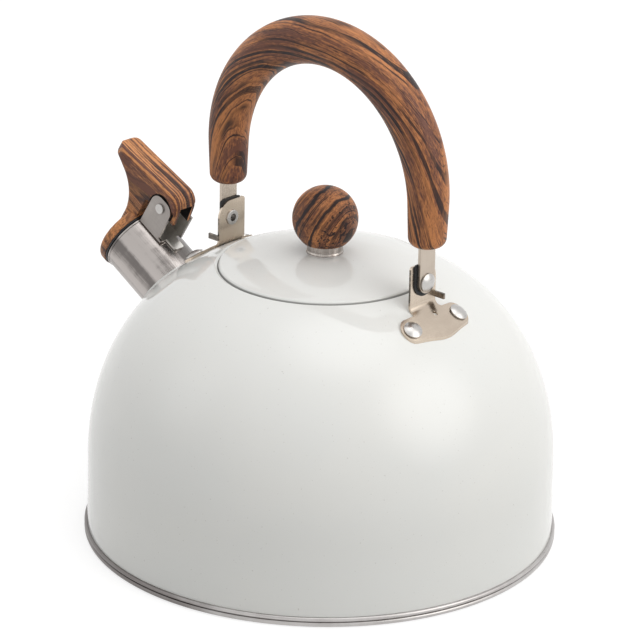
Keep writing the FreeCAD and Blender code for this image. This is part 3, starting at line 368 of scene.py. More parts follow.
# %% Cut the windows
WINDOW_MARGIN = 0.9  # between the neck's foot and the window's edge
body_points = ring_points(outline, BODY_SEGMENTS)


def spout_side(point):
    """Angle around the spout's axis and distance from it, in millimetres, of a point in metres."""
    local = point / MM - spout_mouth
    return math.atan2(local.y, local.dot(over)), math.hypot(local.y, local.dot(over))


def window(neck):
    """A test that says whether a point lies within the neck's foot, or nearly."""
    foot_ring = sorted(spout_side(p * MM) for p in neck[-1])
    angles, radii = zip(*foot_ring)

    def within(point):
        if point.x >= -SEAT_RADIUS * MM:
            return False
        angle, distance = spout_side(point)
        return distance < WINDOW_MARGIN + np.interp(angle, angles, radii, period=2 * math.pi)

    return within


in_outer, in_inner = window(outer_neck), window(inner_neck)
body_faces = []
all_faces = grid_faces(len(outline), BODY_SEGMENTS)
for face in all_faces:
    within = in_outer if face[0] // BODY_SEGMENTS < first_inside else in_inner
    if not any(within(body_points[corner]) for corner in face):
        body_faces.append(face)
print("the windows take out", len(all_faces) - len(body_faces), "faces")

# %% Put in the neck and fill the gaps around its foot
neck = outer_neck[::-1] + inner_neck
neck_faces = grid_faces(len(neck), len(neck[0]), False, len(body_points))
making = shaped(body_points + [p * MM for ring in neck for p in ring], body_faces + neck_faces)
bmesh.ops.delete(making, geom=[v for v in making.verts if not v.link_faces], context="VERTS")
open_edges = [e for e in making.edges if e.is_boundary]
for is_outer in (True, False):
    gap = []
    for edge in open_edges:
        middle = (edge.verts[0].co + edge.verts[1].co) / 2
        above = middle.z / MM - dome_z(math.hypot(middle.x, middle.y) / MM)
        if (above > -WALL / 2) == is_outer:
            gap.append(edge)
    bmesh.ops.triangle_fill(making, use_beauty=True, edges=gap)
body = finished("enamel_body", making)
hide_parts("body_shell")
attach(body, "kettle")

# %% [markdown]
# ## The lid
#
# The lid carries the dome on over the mouth. Its edge is turned down with a small round, and drops onto the
# ledge half a millimetre inside the body's own rounded edge. That gap, with shade painted onto the enamel
# beside it, draws the thin dark ring around the lid.

# %% Turn the lid
LID_WALL = 0.9
SIDE_PLAY = 0.15
LID_INNERMOST = 0.6  # radius of the first ring around the centre
LID_EDGE_STEPS = 6
LID_FOOT_BEVEL = 0.2
lid_top = dome_outline(LID_INNERMOST, steps=60)
lid_top = [p for p in lid_top if p.x < LID_RADIUS - EDGE_ROUND]
lid_under = [Vector((p.x, p.y - LID_WALL)) for p in lid_top if p.x < LID_RADIUS - 2 * EDGE_ROUND]
lid_edge_z = dome_z(LID_RADIUS - EDGE_ROUND)
lid_edge = []
for step in range(LID_EDGE_STEPS + 1):
    angle = math.pi / 2 * (1 - step / LID_EDGE_STEPS)
    lid_edge.append(Vector((
        LID_RADIUS - EDGE_ROUND * (1 - math.cos(angle)),
        lid_edge_z - EDGE_ROUND * (1 - math.sin(angle)),
    )))
lid_foot = [
    Vector((LID_RADIUS, ledge + SIDE_PLAY + LID_FOOT_BEVEL)),
    Vector((LID_RADIUS - LID_FOOT_BEVEL, ledge + SIDE_PLAY)),
    Vector((LID_RADIUS - LID_WALL + LID_FOOT_BEVEL, ledge + SIDE_PLAY)),
    Vector((LID_RADIUS - LID_WALL, ledge + SIDE_PLAY + LID_FOOT_BEVEL)),
    Vector((LID_RADIUS - LID_WALL, lid_edge_z - EDGE_ROUND)),
]
centre_top, centre_under = Vector((0, CROWN_Z)), Vector((0, CROWN_Z - LID_WALL))
lid_outline = [centre_top] + lid_top + lid_edge + lid_foot + lid_under[::-1] + [centre_under]
lid = lathe("enamel_lid", lid_outline)
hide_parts("lid_shell")
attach(lid, "lid")

# %% [markdown]
# ## The steel base
#
# The floor is a steel pan whose rim is rolled around the foot of the body in two beads. Two soft rings with
# a fine groove between them catch two lines of light, so the beads are drawn as real rounds instead of a
# band.

# %% Turn the pan
RIM_STAND_OUT = 1.3  # past the wall's foot
RIM_TOP = 4.7
RIM_BOTTOM = 0.3
GROOVE_Z = 2.5
GROOVE_WIDTH = 0.15
GROOVE_DEPTH = 1.0
PAN_UNDERSIDE = 3.0
PAN_SHEET = 0.8
PAN_BEND = 0.5
BEAD_PLAY = 0.02  # between a bead's round and the groove's bottom
foot_radius = BELT_RADIUS + FOOT_FLARE
rim_radius = foot_radius + RIM_STAND_OUT
pan_inner = foot_radius - WALL - PAN_SHEET
bead = GROOVE_DEPTH - BEAD_PLAY
pan = lathe("steel_base_pan", rounded([
    (0, PAN_UNDERSIDE, 0),
    (pan_inner, PAN_UNDERSIDE, PAN_BEND),
    (pan_inner, RIM_BOTTOM, PAN_SHEET),
    (rim_radius, RIM_BOTTOM, bead),
    (rim_radius, GROOVE_Z, bead),
    (rim_radius - GROOVE_DEPTH, GROOVE_Z, 0),
    (rim_radius - GROOVE_DEPTH, GROOVE_Z + GROOVE_WIDTH, 0),
    (rim_radius, GROOVE_Z + GROOVE_WIDTH, bead),
    (rim_radius, RIM_TOP, bead),
    (foot_radius + FIT, RIM_TOP, 0),
    (foot_radius + FIT, FLOOR_Z, 0),
    (0, FLOOR_Z, 0),
], steps=8), BODY_SEGMENTS)
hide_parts("base_pan")
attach(pan, "kettle")

# %% [markdown]
# ## The spout
#
# A drawn steel tube with a rolled lip at its mouth. Inside the body its end is turned out into a flange
# that holds it in the neck.

# %% Turn the spout in its own frame
LIP = 0.45
LIP_LENGTH = 1.2
LIP_STEP = 0.2
LIP_STEP_ROUND = 0.15
FLANGE = 2.2  # how far the inner end is turned out
FLANGE_ROUND = 0.3
FLANGE_INNER_ROUND = 0.2
TUBE_CORNER = 0.1
back = -SPOUT_REACH - SPOUT_INSIDE
spout_pipe = lathe("steel_spout_pipe", rounded([
    (SPOUT_RADIUS - SPOUT_WALL, back, FLANGE_INNER_ROUND),
    (SPOUT_RADIUS + FLANGE, back, FLANGE_ROUND),
    (SPOUT_RADIUS + FLANGE, back + SPOUT_WALL, FLANGE_ROUND),
    (SPOUT_RADIUS, back + SPOUT_WALL, TUBE_CORNER),
    (SPOUT_RADIUS, -LIP_LENGTH, TUBE_CORNER),
    (SPOUT_RADIUS + LIP, -LIP_LENGTH + LIP_STEP, LIP_STEP_ROUND),
    (SPOUT_RADIUS + LIP, 0, LIP),
    (SPOUT_RADIUS - SPOUT_WALL, 0, SHEET_ROUND),
]), segments=192, place=on_spout)
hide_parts("spout_tube")
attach(spout_pipe, "kettle")

# %% [markdown]
# ## The ball knob
#
# A ball turned from the same wood-look moulding as the grip, with a small flat where it stands on the
# collar. Its outline is half a circle that ends at the flat.

# %% Turn the knob
KNOB_RADIUS = 15.1
KNOB_CENTRE_Z = 152.7
KNOB_FLAT_Z = 141.2
KNOB_STEPS = 73
flat_angle = math.asin((KNOB_FLAT_Z - KNOB_CENTRE_Z) / KNOB_RADIUS)
knob_outline = [Vector((0, KNOB_CENTRE_Z + KNOB_RADIUS))]
for angle in np.linspace(math.pi / 2, flat_angle, KNOB_STEPS)[1:]:
    height = KNOB_CENTRE_Z + KNOB_RADIUS * math.sin(angle)
    knob_outline.append(Vector((KNOB_RADIUS * math.cos(angle), height)))
knob_outline.append(Vector((0, KNOB_FLAT_Z)))
knob = lathe("wood_look_knob", knob_outline, segments=144)
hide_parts("knob_ball")
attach(knob, "lid")

# %% [markdown]
# ## The grip
#
# The grip is an arch: a half circle with two straight legs, round in section, thickest at its crown and a
# little slimmer towards its ends, which are rounded over. A curve with a bevel could sweep it, but a grain
# that follows the arch needs to know where each point lies along the grip. So the rings are placed in code,
# and every point also stores its place in the straightened grip: how far outwards, how far sideways and how
# far along. That is written to the mesh as an attribute, which the wood finish reads later. The veins of
# the print don't quite follow the arch: they start at the outside of each leg and reach the inside at the
# crown, so a drift is added to the first number.

# %% Sizes of the grip
GRIP_SPREAD = 61.1  # half the distance between the legs
GRIP_END_Z = 155.28
GRIP_LEG = 19.45  # length of the straight part
GRIP_CROWN_RADIUS = 10.9
GRIP_THINNING = 2.4  # from the crown to the ends, by radius
GRIP_THINNING_POWER = 2.2
GRIP_END_ROUND = 4.2
GRIP_END_BULGE = 0.5
arch_z = GRIP_END_Z + GRIP_LEG
quarter_arc = math.pi / 2 * GRIP_SPREAD
half_length = GRIP_LEG + quarter_arc


def grip_place(travel):
    """Centre of the grip and its outward direction at a distance along it from the crown, towards +X."""
    side = math.copysign(1.0, travel)
    if abs(travel) > quarter_arc:
        leg_z = arch_z - (abs(travel) - quarter_arc)
        return Vector((side * GRIP_SPREAD, 0, leg_z)), Vector((side, 0, 0))
    angle = travel / GRIP_SPREAD
    outwards = Vector((math.sin(angle), 0, math.cos(angle)))
    return Vector((0, 0, arch_z)) + outwards * GRIP_SPREAD, outwards


def grip_radius(travel):
    """Radius of the grip at a distance along it from the crown."""
    return GRIP_CROWN_RADIUS - GRIP_THINNING * (abs(travel) / half_length) ** GRIP_THINNING_POWER


print("the grip is", round(2 * half_length), "mm long along its middle")

# %% Rings along the grip
LENGTH_STEPS = 161
ROUND_STEPS = 10
END_STEPS = 5
stations = []
for share in np.linspace(-1, 1, LENGTH_STEPS):
    travel = share * (half_length - GRIP_END_ROUND)
    stations.append((travel, grip_radius(travel)))
end_radius = grip_radius(half_length)
for step in range(1, ROUND_STEPS + 1):
    angle = math.pi / 2 * step / ROUND_STEPS
    travel = half_length - GRIP_END_ROUND * (1 - math.sin(angle))
    radius = grip_radius(travel) - GRIP_END_ROUND * (1 - math.cos(angle))
    stations = [(-travel, radius)] + stations + [(travel, radius)]
for step in range(1, END_STEPS):
    share = step / END_STEPS
    radius = (end_radius - GRIP_END_ROUND) * (1 - share)
    travel = half_length + GRIP_END_BULGE * (1 - (1 - share) ** 2)
    stations = [(-travel, radius)] + stations + [(travel, radius)]
print("the grip has", len(stations), "rings")

# %% Place the rings
GRIP_SEGMENTS = 96
VEIN_DRIFT = 0.26  # how fast the veins move outwards along the grip, away from their centre
VEIN_CENTRE = 8.0  # where they lie innermost, from the crown
VEIN_TURN = 22.0  # over which length they turn there
VEIN_LEAN = 0.45  # how much they lean sideways
grip_points = []
grip_straight = []
for travel, radius in stations:
    centre, outwards = grip_place(travel)
    for angle in once_around(GRIP_SEGMENTS):
        facing = outwards * math.cos(angle) + SIDEWAYS * math.sin(angle)
        grip_points.append((centre + facing * radius) * MM)
        out, aside = radius * math.cos(angle), radius * math.sin(angle)
        drift = VEIN_DRIFT * math.hypot(travel - VEIN_CENTRE, VEIN_TURN)
        grip_straight.append(Vector((out + VEIN_LEAN * aside - drift, aside, travel)) * MM)
grip_faces = grid_faces(len(stations), GRIP_SEGMENTS, False)
for first in (0, (len(stations) - 1) * GRIP_SEGMENTS):
    grip_faces.append(tuple(range(first, first + GRIP_SEGMENTS)))
grip = finished("wood_look_grip", shaped(grip_points, grip_faces))
straight = grip.data.attributes.new("straightened", "FLOAT_VECTOR", "POINT")
straight.data.foreach_set("vector", [c for p in grip_straight for c in p])
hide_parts("handle_grip")
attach(grip, "handle")

# %% [markdown]
# ## Floor, world and lamps
#
# Glossy enamel shows whatever is around it, so the studio is part of the finish. The floor is pale, and the
# world behind it is white wherever the camera, a reflection or a look through something sees it. What
# lights the kettle is a softer world, brighter towards the ceiling, and three large round lamps: a broad
# one above to the right, a weaker one on the left and one overhead. Each lamp fades out towards its rim, so
# that no hard-edged patch of light shows in the enamel. The floor keeps the kettle's shadow, because only
# part of its white is its own glow.
#
# Node trees can be wired by hand in the Shader Editor. In code, one function that adds a node and fills its
# sockets keeps each step of a tree on one line, and a second one does the same for sums. A node that is fed
# by another one stands in the same tree, so only a tree's first nodes are told which tree that is.

# %% Nodes in code
def empty_tree(owner):
    """The emptied node tree of a material, a world or a lamp."""
    owner.use_nodes = True
    owner.node_tree.nodes.clear()
    return owner.node_tree


def feed(output, target):
    """Links an output to an input."""
    target.id_data.links.new(output, target)


def put(kind, inputs=None, tree=None, **settings):
    """Adds a node, sets it up, and fills its inputs with numbers, colours or other nodes' outputs."""
    sources = [value for value in (inputs or {}).values() if isinstance(value, bpy.types.NodeSocket)]
    node = (tree or sources[0].id_data).nodes.new("ShaderNode" + kind)
    for key, value in settings.items():
        setattr(node, key, value)
    for socket, value in (inputs or {}).items():
        target = node.inputs[socket]
        if isinstance(value, bpy.types.NodeSocket):
            feed(value, target)
        elif target.type == "RGBA" and len(value) == 3:
            target.default_value = (*value, 1.0)
        else:
            target.default_value = value
    return node


def figure(operation, *values, clamp=False):
    """Output of a Math node."""
    return put("Math", dict(enumerate(values)), operation=operation, use_clamp=clamp).outputs[0]


# %% Floor
FLOOR_HALF = 3.0
FLOOR_BOUNCE = (0.55, 0.55, 0.54)
FLOOR_SHADE = (0.36, 0.36, 0.36)
FLOOR_GLOW = 0.72


def seen_directly(tree):
    """1 for what the camera sees itself, in a reflection or through something, and 0 for light."""
    path = put("LightPath", tree=tree).outputs
    seen = figure("MAXIMUM", path["Is Camera Ray"], path["Is Glossy Ray"])
    return figure("MAXIMUM", seen, path["Is Transmission Ray"])


corners = [(x * FLOOR_HALF, y * FLOOR_HALF, 0) for x, y in ((-1, -1), (1, -1), (1, 1), (-1, 1))]
floor_mesh = bpy.data.meshes.new("studio_floor")
floor_mesh.from_pydata(corners, [], [(0, 1, 2, 3)])
floor = in_scene("studio_floor", floor_mesh)
floor_look = bpy.data.materials.new("pale_floor")
tree = empty_tree(floor_look)
bounce = put("BsdfDiffuse", {"Color": FLOOR_BOUNCE}, tree)
shaded = put("BsdfDiffuse", {"Color": FLOOR_SHADE}, tree)
glow = put("Emission", {"Color": (1, 1, 1), "Strength": FLOOR_GLOW}, tree)
lit = put("AddShader", {0: shaded.outputs[0], 1: glow.outputs[0]})
mixed = put("MixShader", {0: seen_directly(tree), 1: bounce.outputs[0], 2: lit.outputs[0]})
put("OutputMaterial", {"Surface": mixed.outputs[0]})
floor_mesh.materials.append(floor_look)
print("the floor is", 2 * FLOOR_HALF, "m wide")

# %% World
SIDE_LIGHT = 0.33
CEILING_LIGHT = 1.05
CEILING_FROM = 0.25


def sides(place):
    """The three numbers of a place."""
    return put("SeparateXYZ", {0: place}).outputs


world = bpy.data.worlds.new("studio")
tree = empty_tree(world)
direction = put("TexCoord", tree=tree).outputs["Generated"]
ceiling = {"Value": sides(direction)[2], 1: CEILING_FROM, 2: 1.0, 3: SIDE_LIGHT, 4: CEILING_LIGHT}
strength = put("MapRange", ceiling, interpolation_type="SMOOTHSTEP").outputs[0]
light = put("Background", {"Color": (1.0, 0.99, 0.98), "Strength": strength})
white = put("Background", {"Color": (1, 1, 1), "Strength": 1.0}, tree)
mixed = put("MixShader", {0: seen_directly(tree), 1: light.outputs[0], 2: white.outputs[0]})
put("OutputWorld", {"Surface": mixed.outputs[0]})
bpy.context.scene.world = world
bpy.context.scene.view_settings.view_transform = "Standard"
print("the world lights with", SIDE_LIGHT, "from the sides and", CEILING_LIGHT, "from above")

# %% Lamps
LAMP_PEAK = 2.6  # what the middle gives, against an even lamp's 1
FADE_FROM = 0.08
LAMP_AIM = Vector((0, 0, 0.1))


def soft_lamp(name, place, size, power, colour):
    """A round soft box that points at the middle of the kettle and fades out towards its rim."""
    data = bpy.data.lights.new(name, "AREA")
    data.shape = "DISK"
    data.size = size
    data.energy = power
    data.color = colour
    tree = empty_tree(data)
    spot = put("NewGeometry", tree=tree).outputs["Parametric"]
    middle = {0: spot, 1: (0.5, 0.5, 0.0)}
    from_middle = put("VectorMath", middle, operation="DISTANCE").outputs["Value"]
    fading = {"Value": from_middle, 1: FADE_FROM, 2: 0.5, 3: LAMP_PEAK, 4: 0.0}
    strength = put("MapRange", fading, interpolation_type="SMOOTHSTEP").outputs[0]
    glow = put("Emission", {"Strength": strength})
    put("OutputLight", {"Surface": glow.outputs[0]})
    lamp = in_scene(name, data)
    lamp.location = place
    lamp.rotation_euler = (LAMP_AIM - place).to_track_quat("-Z", "Y").to_euler()


soft_lamp("right_soft_box", place=Vector((1.95, 0.6, 1.3)), size=3.2, power=21, colour=(1.0, 0.985, 0.96))
soft_lamp("left_soft_box", place=Vector((-1.2, -1.4, 1.0)), size=1.8, power=1.4, colour=(0.97, 0.98, 1.0))
soft_lamp("overhead_soft_box", place=Vector((0.3, 0.1, 2.1)), size=2.6, power=10, colour=(1, 1, 1))

# %% [markdown]
# ## Effects that several finishes share
#
# Three node groups are built once and used in many materials. Each takes a place on the surface and gives
# back a mask or a colour, and the material decides what to do with it. Keeping the shader itself out of the
# groups lets an exporter read every finish.
#
# A handful of small steps comes first. Almost everything here is soft noise, stretched to the size of what
# it draws, and a soft step that turns it into a mask.

# %% Noise, masks and mixes
def noise(place, sizes, detail=2.0, shift=(0, 0, 0), roughness=0.5):
    """Soft noise between 0 and 1, with features of the given sizes in millimetres."""
    inputs = {"Vector": place, "Scale": tuple(1 / (size * MM) for size in sizes), "Location": shift}
    scaled = put("Mapping", inputs).outputs[0]
    inputs = {"Vector": scaled, "Scale": 1.0, "Detail": detail, "Roughness": roughness}
    return put("TexNoise", inputs).outputs["Fac"]


def ramp(value, low, high, out_low=0.0, out_high=1.0):
    """A soft step of a value from one level to another."""
    inputs = {"Value": value, 1: low, 2: high, 3: out_low, 4: out_high}
    return put("MapRange", inputs, interpolation_type="SMOOTHSTEP").outputs[0]


def blend(share, first, second):
    """A mix of two colours."""
    return put("Mix", {0: share, 6: first, 7: second}, data_type="RGBA").outputs[2]


def swayed(value, sway, amount, middle=0.5, clamp=False):
    """A value moved up and down by a noise around its middle."""
    return figure("MULTIPLY_ADD", figure("SUBTRACT", sway, middle), amount, value, clamp=clamp)


# %% Start a node group
def effect(name, inputs, outputs):
    """An empty node group with named sockets; returns its tree, its inputs and its output node."""
    tree = bpy.data.node_groups.new(name, "ShaderNodeTree")
    for label, kind, value in inputs:
        socket = tree.interface.new_socket(name=label, in_out="INPUT", socket_type="NodeSocket" + kind)
        if value is not None:
            socket.default_value = value
    for label, kind in outputs:
        tree.interface.new_socket(name=label, in_out="OUTPUT", socket_type="NodeSocket" + kind)
    return tree, tree.nodes.new("NodeGroupInput").outputs, tree.nodes.new("NodeGroupOutput").inputs


# %% [markdown]
# Wood figure: the moulded parts carry a printed wood pattern. What makes it read as wood is several scales
# at once: slow changes of tone, dark veins that fade in and out along their length, paler and deeper
# stripes between them, a fine mottle, hair-thin streaks and short dark pores. All of them are long along
# the grain and narrow across it, which stretched noise gives, with the grain along the third axis of the
# place that the group is handed.
#
# The layers of the wood are one-dimensional noise across the grain. The distance across it is swayed by two
# soft noises first, so that the layers wander as a tree's rings do.

# %% Wood figure: its sockets
wood, given, result = effect("wood_figure", [
    ("Place", "Vector", None),
    ("Vein Pitch", "Float", 9.0),
    ("Vein Seed", "Float", 0.0),
    ("Wander", "Float", 6.0),
    ("Own Bands", "Float", 0.0),
    ("Flecks", "Float", 0.0),
    ("Striping", "Float", 0.35),
    ("Light Tone", "Color", (0.55, 0.222, 0.084, 1)),
    ("Deep Tone", "Color", (0.165, 0.067, 0.044, 1)),
    ("Vein Tone", "Color", (0.012, 0.009, 0.012, 1)),
], [("Colour", "Color"), ("Veins", "Float"), ("Pores", "Float")])
print("the wood figure takes", [s.name for s in wood.interface.items_tree if s.in_out == "INPUT"])

# %% Wood figure: its layers
SWAY_SIZE = (24, 24, 60)
RIPPLE_SIZE = (7, 7, 24)
RIPPLE = 2.2


def in_mm(length):
    """Millimetres from metres."""
    return figure("DIVIDE", length, MM)


def line_noise(at, detail):
    """Soft noise between 0 and 1 along a line."""
    inputs = {"W": at, "Scale": 1.0, "Detail": detail}
    return put("TexNoise", inputs, noise_dimensions="1D").outputs["Fac"]


place = given["Place"]
across = in_mm(sides(place)[0])
across = swayed(across, noise(place, SWAY_SIZE), given["Wander"])
across = swayed(across, noise(place, RIPPLE_SIZE, shift=(3, 1, 2)), RIPPLE)


def layers_of(pitch_share, seed_shift):
    """Levels of the wood's layers, at a share of the veins' pitch."""
    pitch = figure("MULTIPLY", given["Vein Pitch"], pitch_share)
    seed = figure("ADD", given["Vein Seed"], seed_shift)
    return line_noise(figure("ADD", figure("DIVIDE", across, pitch), seed), 1.0)


wide_layers = layers_of(1.0, 0.0)
close_layers = layers_of(0.36, 40.0)
stripe_layers = layers_of(0.3, 80.0)
print("the layers take", len(wood.nodes), "nodes")

# %% [markdown]
# A vein is the thin line where the layers cross their middle level. Such a line is wide where the layers
# change slowly and thin where they change fast, as in real wood. Broad veins come and go over some
# centimetres and are broken up a little by fine streaks, and narrow ones fade sooner.

# %% Wood figure: veins
VEIN_CORE = 0.35  # share of a line's width that is fully dark
BROAD_VEIN = 0.026
NARROW_VEIN = 0.034
BROAD_FADE_SIZE = (26, 26, 55)
NARROW_FADE_SIZE = (9, 9, 30)
BREAK_SIZE = (0.6, 0.6, 9)


def all_of(*masks):
    """A mask that holds where every mask holds."""
    return reduce(lambda held, mask: figure("MULTIPLY", held, mask), masks)


def any_of(*masks):
    """A mask that holds where any mask holds."""
    return reduce(lambda held, mask: figure("MAXIMUM", held, mask), masks)


def line_at(away, width):
    """A dark line of a width, with a soft edge, around where a distance is 0."""
    return ramp(away, width * VEIN_CORE, width, 1.0, 0.0)


def crossing(layers, width):
    """A line wherever the layers cross their middle level."""
    away = figure("ABSOLUTE", figure("SUBTRACT", layers, 0.5))
    return line_at(away, width)


coming = ramp(noise(place, BROAD_FADE_SIZE, shift=(9, 4, 1)), 0.34, 0.52)
fading = ramp(noise(place, NARROW_FADE_SIZE, shift=(5, 8, 3)), 0.4, 0.58, 0.0, 0.9)
broken = ramp(noise(place, BREAK_SIZE, 3.0), 0.25, 0.5, 0.55, 1.0)
broad = all_of(crossing(wide_layers, BROAD_VEIN), coming, broken)
narrow = all_of(crossing(close_layers, NARROW_VEIN), fading)
veins = any_of(broad, narrow, given["Own Bands"])
feed(veins, result["Veins"])
print("with its veins the wood figure has", len(wood.nodes), "nodes")

# %% [markdown]
# Between the veins the tone moves from a light to a deep brown. Slow patches set it, it deepens beside a
# broad vein, and streaks, mottle and stripes move it on. The pores, the flecks of end grain and the veins
# are laid over it.

# %% Wood figure: tone and colour
TONE_SIZE = (11, 11, 45)
STREAK_SIZE = (0.7, 0.7, 16)
MOTTLE_SIZE = (0.7, 0.7, 2.4)
PORE_SIZE = (0.42, 0.42, 5.5)
FLECK_SIZE = (1.3, 1.6, 1.8)
DEEPER_BESIDE_VEIN = 0.4
STREAKING = 2.0
MOTTLING = 1.5
PORE_DARKNESS = 0.6
DARKEST = 0.96
tone = ramp(noise(place, TONE_SIZE, 3.0, (1, 6, 7)), 0.3, 0.7)
beside_vein = all_of(ramp(wide_layers, 0.47, 0.6), coming)
tone = swayed(tone, beside_vein, DEEPER_BESIDE_VEIN, middle=0.4)
tone = swayed(tone, noise(place, STREAK_SIZE, 3.0, (2, 2, 2)), STREAKING)
tone = swayed(tone, noise(place, MOTTLE_SIZE, 2.0, (6, 2, 5)), MOTTLING)
tone = swayed(tone, ramp(stripe_layers, 0.38, 0.6), given["Striping"], clamp=True)
colour = blend(tone, given["Light Tone"], given["Deep Tone"])
pores = ramp(noise(place, PORE_SIZE, 1.0), 0.6, 0.68)
flecks = ramp(noise(place, FLECK_SIZE, 2.0, (4, 4, 4)), 0.54, 0.62)
flecks = all_of(flecks, given["Flecks"])
dark = any_of(figure("MULTIPLY", pores, PORE_DARKNESS), flecks, veins)
dark = figure("MULTIPLY", dark, DARKEST, clamp=True)
feed(blend(dark, colour, given["Vein Tone"]), result["Colour"])
feed(pores, result["Pores"])
print("in all the wood figure has", len(wood.nodes), "nodes")

# %% [markdown]
# Handling marks: nothing that is picked up every day has one even gloss. Broad soft patches and faint
# smears change how sharp the reflections are, a little, on enamel and steel alike.

# %% Handling marks
PATCH_SIZE = (38, 38, 26)
SMEAR_SIZE = (5, 9, 3)
SMEARING = 0.35
marks, given, result = effect("handling_marks", [
    ("Place", "Vector", None),
    ("Lowest", "Float", 0.1),
    ("Highest", "Float", 0.2),
], [("Roughness", "Float"), ("Marks", "Float")])
patches = noise(given["Place"], PATCH_SIZE, 3.0)
smears = noise(given["Place"], SMEAR_SIZE, 4.0, (1, 2, 3), roughness=0.6)
soft = ramp(swayed(patches, smears, SMEARING), 0.3, 0.7)
spread = figure("SUBTRACT", given["Highest"], given["Lowest"])
feed(figure("MULTIPLY_ADD", soft, spread, given["Lowest"]), result["Roughness"])
feed(soft, result["Marks"])
print("the handling marks have", len(marks.nodes), "nodes")

# %% [markdown]
# Brushed grain: a belt or a wheel leaves fine parallel scratches in steel. Noise that is very long one way
# and very narrow the other gives them; the group lays it along the third axis of the place that it is
# handed.

# %% Brushed grain
FINE_SCRATCH = (0.16, 0.16, 6.0)
COARSE_SCRATCH = (0.6, 0.6, 18.0)
COARSE_SHARE = 0.4
grain, given, result = effect("brushed_grain", [
    ("Place", "Vector", None),
    ("Fineness", "Float", 1.0),
], [("Grain", "Float")])
inputs = {0: given["Place"], "Scale": given["Fineness"]}
scaled = put("VectorMath", inputs, operation="SCALE").outputs[0]
fine = figure("MULTIPLY", noise(scaled, FINE_SCRATCH), 1 - COARSE_SHARE)
coarse = noise(scaled, COARSE_SCRATCH, shift=(2, 5, 1))
feed(figure("MULTIPLY_ADD", coarse, COARSE_SHARE, fine), result["Grain"])
print("shared effects:", [g.name for g in bpy.data.node_groups])

# %% [markdown]
# ## Making a finish
#
# A finish is a material whose Principled shader gets its colour, its roughness and its relief from noise
# and from the shared effects. What is the same all over the surface is set straight on the shader's
# sockets. A bump's depth is a real one, in millimetres, so that every finish can be judged by the same
# measure.

# %% Start a finish
def finish(name, **constants):
    """A new material, its tree and its shader, with the constants set on the shader's own sockets."""
    material = bpy.data.materials.new(name)
    tree = empty_tree(material)
    shader = put("BsdfPrincipled", tree=tree)
    for label, value in constants.items():
        shader.inputs[label.replace("_", " ")].default_value = value
    put("OutputMaterial", {"Surface": shader.outputs[0]})
    return material, tree, shader


def use(group, place, **values):
    """Outputs of a shared effect placed in a material with its own values."""
    inputs = {label.replace("_", " "): value for label, value in values.items()}
    return put("Group", {"Place": place, **inputs}, node_tree=group).outputs


# %% Steps of a finish
def object_place(tree):
    """Place on the piece, in metres from the kettle's own origin."""
    return put("TexCoord", tree=tree).outputs["Object"]


def coloured(shader, colour):
    """Gives the shader its colour."""
    feed(colour, shader.inputs["Base Color"])


def handled(shader, place, lowest, highest):
    """Lets the handling marks move the roughness between two values, and returns the marks."""
    seen = use(marks, place, Lowest=lowest, Highest=highest)
    feed(seen["Roughness"], shader.inputs["Roughness"])
    return seen["Marks"]


def relief(shader, height, depth):
    """Bumps of a depth in millimetres from a height between 0 and 1."""
    bump = put("Bump", {"Height": height, "Distance": depth * MM, "Strength": 1.0})
    feed(bump.outputs[0], shader.inputs["Normal"])


def wear(material, *things):
    """Gives a finish to pieces, or to CAD nodes by name."""
    for thing in things:
        mesh = (nodes_of_cad[thing] if isinstance(thing, str) else thing).data
        mesh.materials.clear()
        mesh.materials.append(material)
    print(material.name, "on", [thing if isinstance(thing, str) else thing.name for thing in things])


# %% [markdown]
# ## Enamel
#
# Vitreous enamel is glass fused onto steel: a warm white under a hard gloss. It isn't quite flat. The glass
# pulls into a very faint orange peel as it cools, and here and there a tiny pit or speck stays in it. The
# gloss comes from a low roughness, the peel from a shallow bump, and the specks darken the white a little.
# Shade is painted grey into the enamel on the turned edges of the lid and the mouth, which draws a thin dark
# line round the lid. The distance from the kettle's axis finds those edges, so no seam has to be cut into
# the mesh.

# %% Painted shade along the lid's gap
GAP_SHADE_FROM = LID_RADIUS - 0.02
GAP_SHADE_TO = LID_RADIUS + 0.55
GAP_SHADE_SOFTNESS = 0.1
GAP_SHADE_ABOVE = ledge - 2.0  # so that the whole edge is meant and nothing below it


def away_from(first, second):
    """Distance from the middle, given how far a place lies in two directions square to each other."""
    squares = figure("MULTIPLY_ADD", first, first, figure("MULTIPLY", second, second))
    return figure("SQRT", squares)


def painted_gap_shade(place):
    """1 on the turned edges of the lid and the mouth along the lid's gap, where shade is painted into the
    enamel.
    """
    x, y, z = sides(place)
    radius = in_mm(away_from(x, y))
    outside = ramp(radius, GAP_SHADE_FROM - GAP_SHADE_SOFTNESS, GAP_SHADE_FROM + GAP_SHADE_SOFTNESS)
    inside = ramp(radius, GAP_SHADE_TO + GAP_SHADE_SOFTNESS, GAP_SHADE_TO - GAP_SHADE_SOFTNESS)
    high = figure("GREATER_THAN", z, GAP_SHADE_ABOVE * MM)
    return all_of(outside, inside, high)


# The edges that this prints are where shade is painted along the lid's gap.
print("the bare edges lie", round(GAP_SHADE_FROM, 2), "to", round(GAP_SHADE_TO, 2), "mm from the axis")

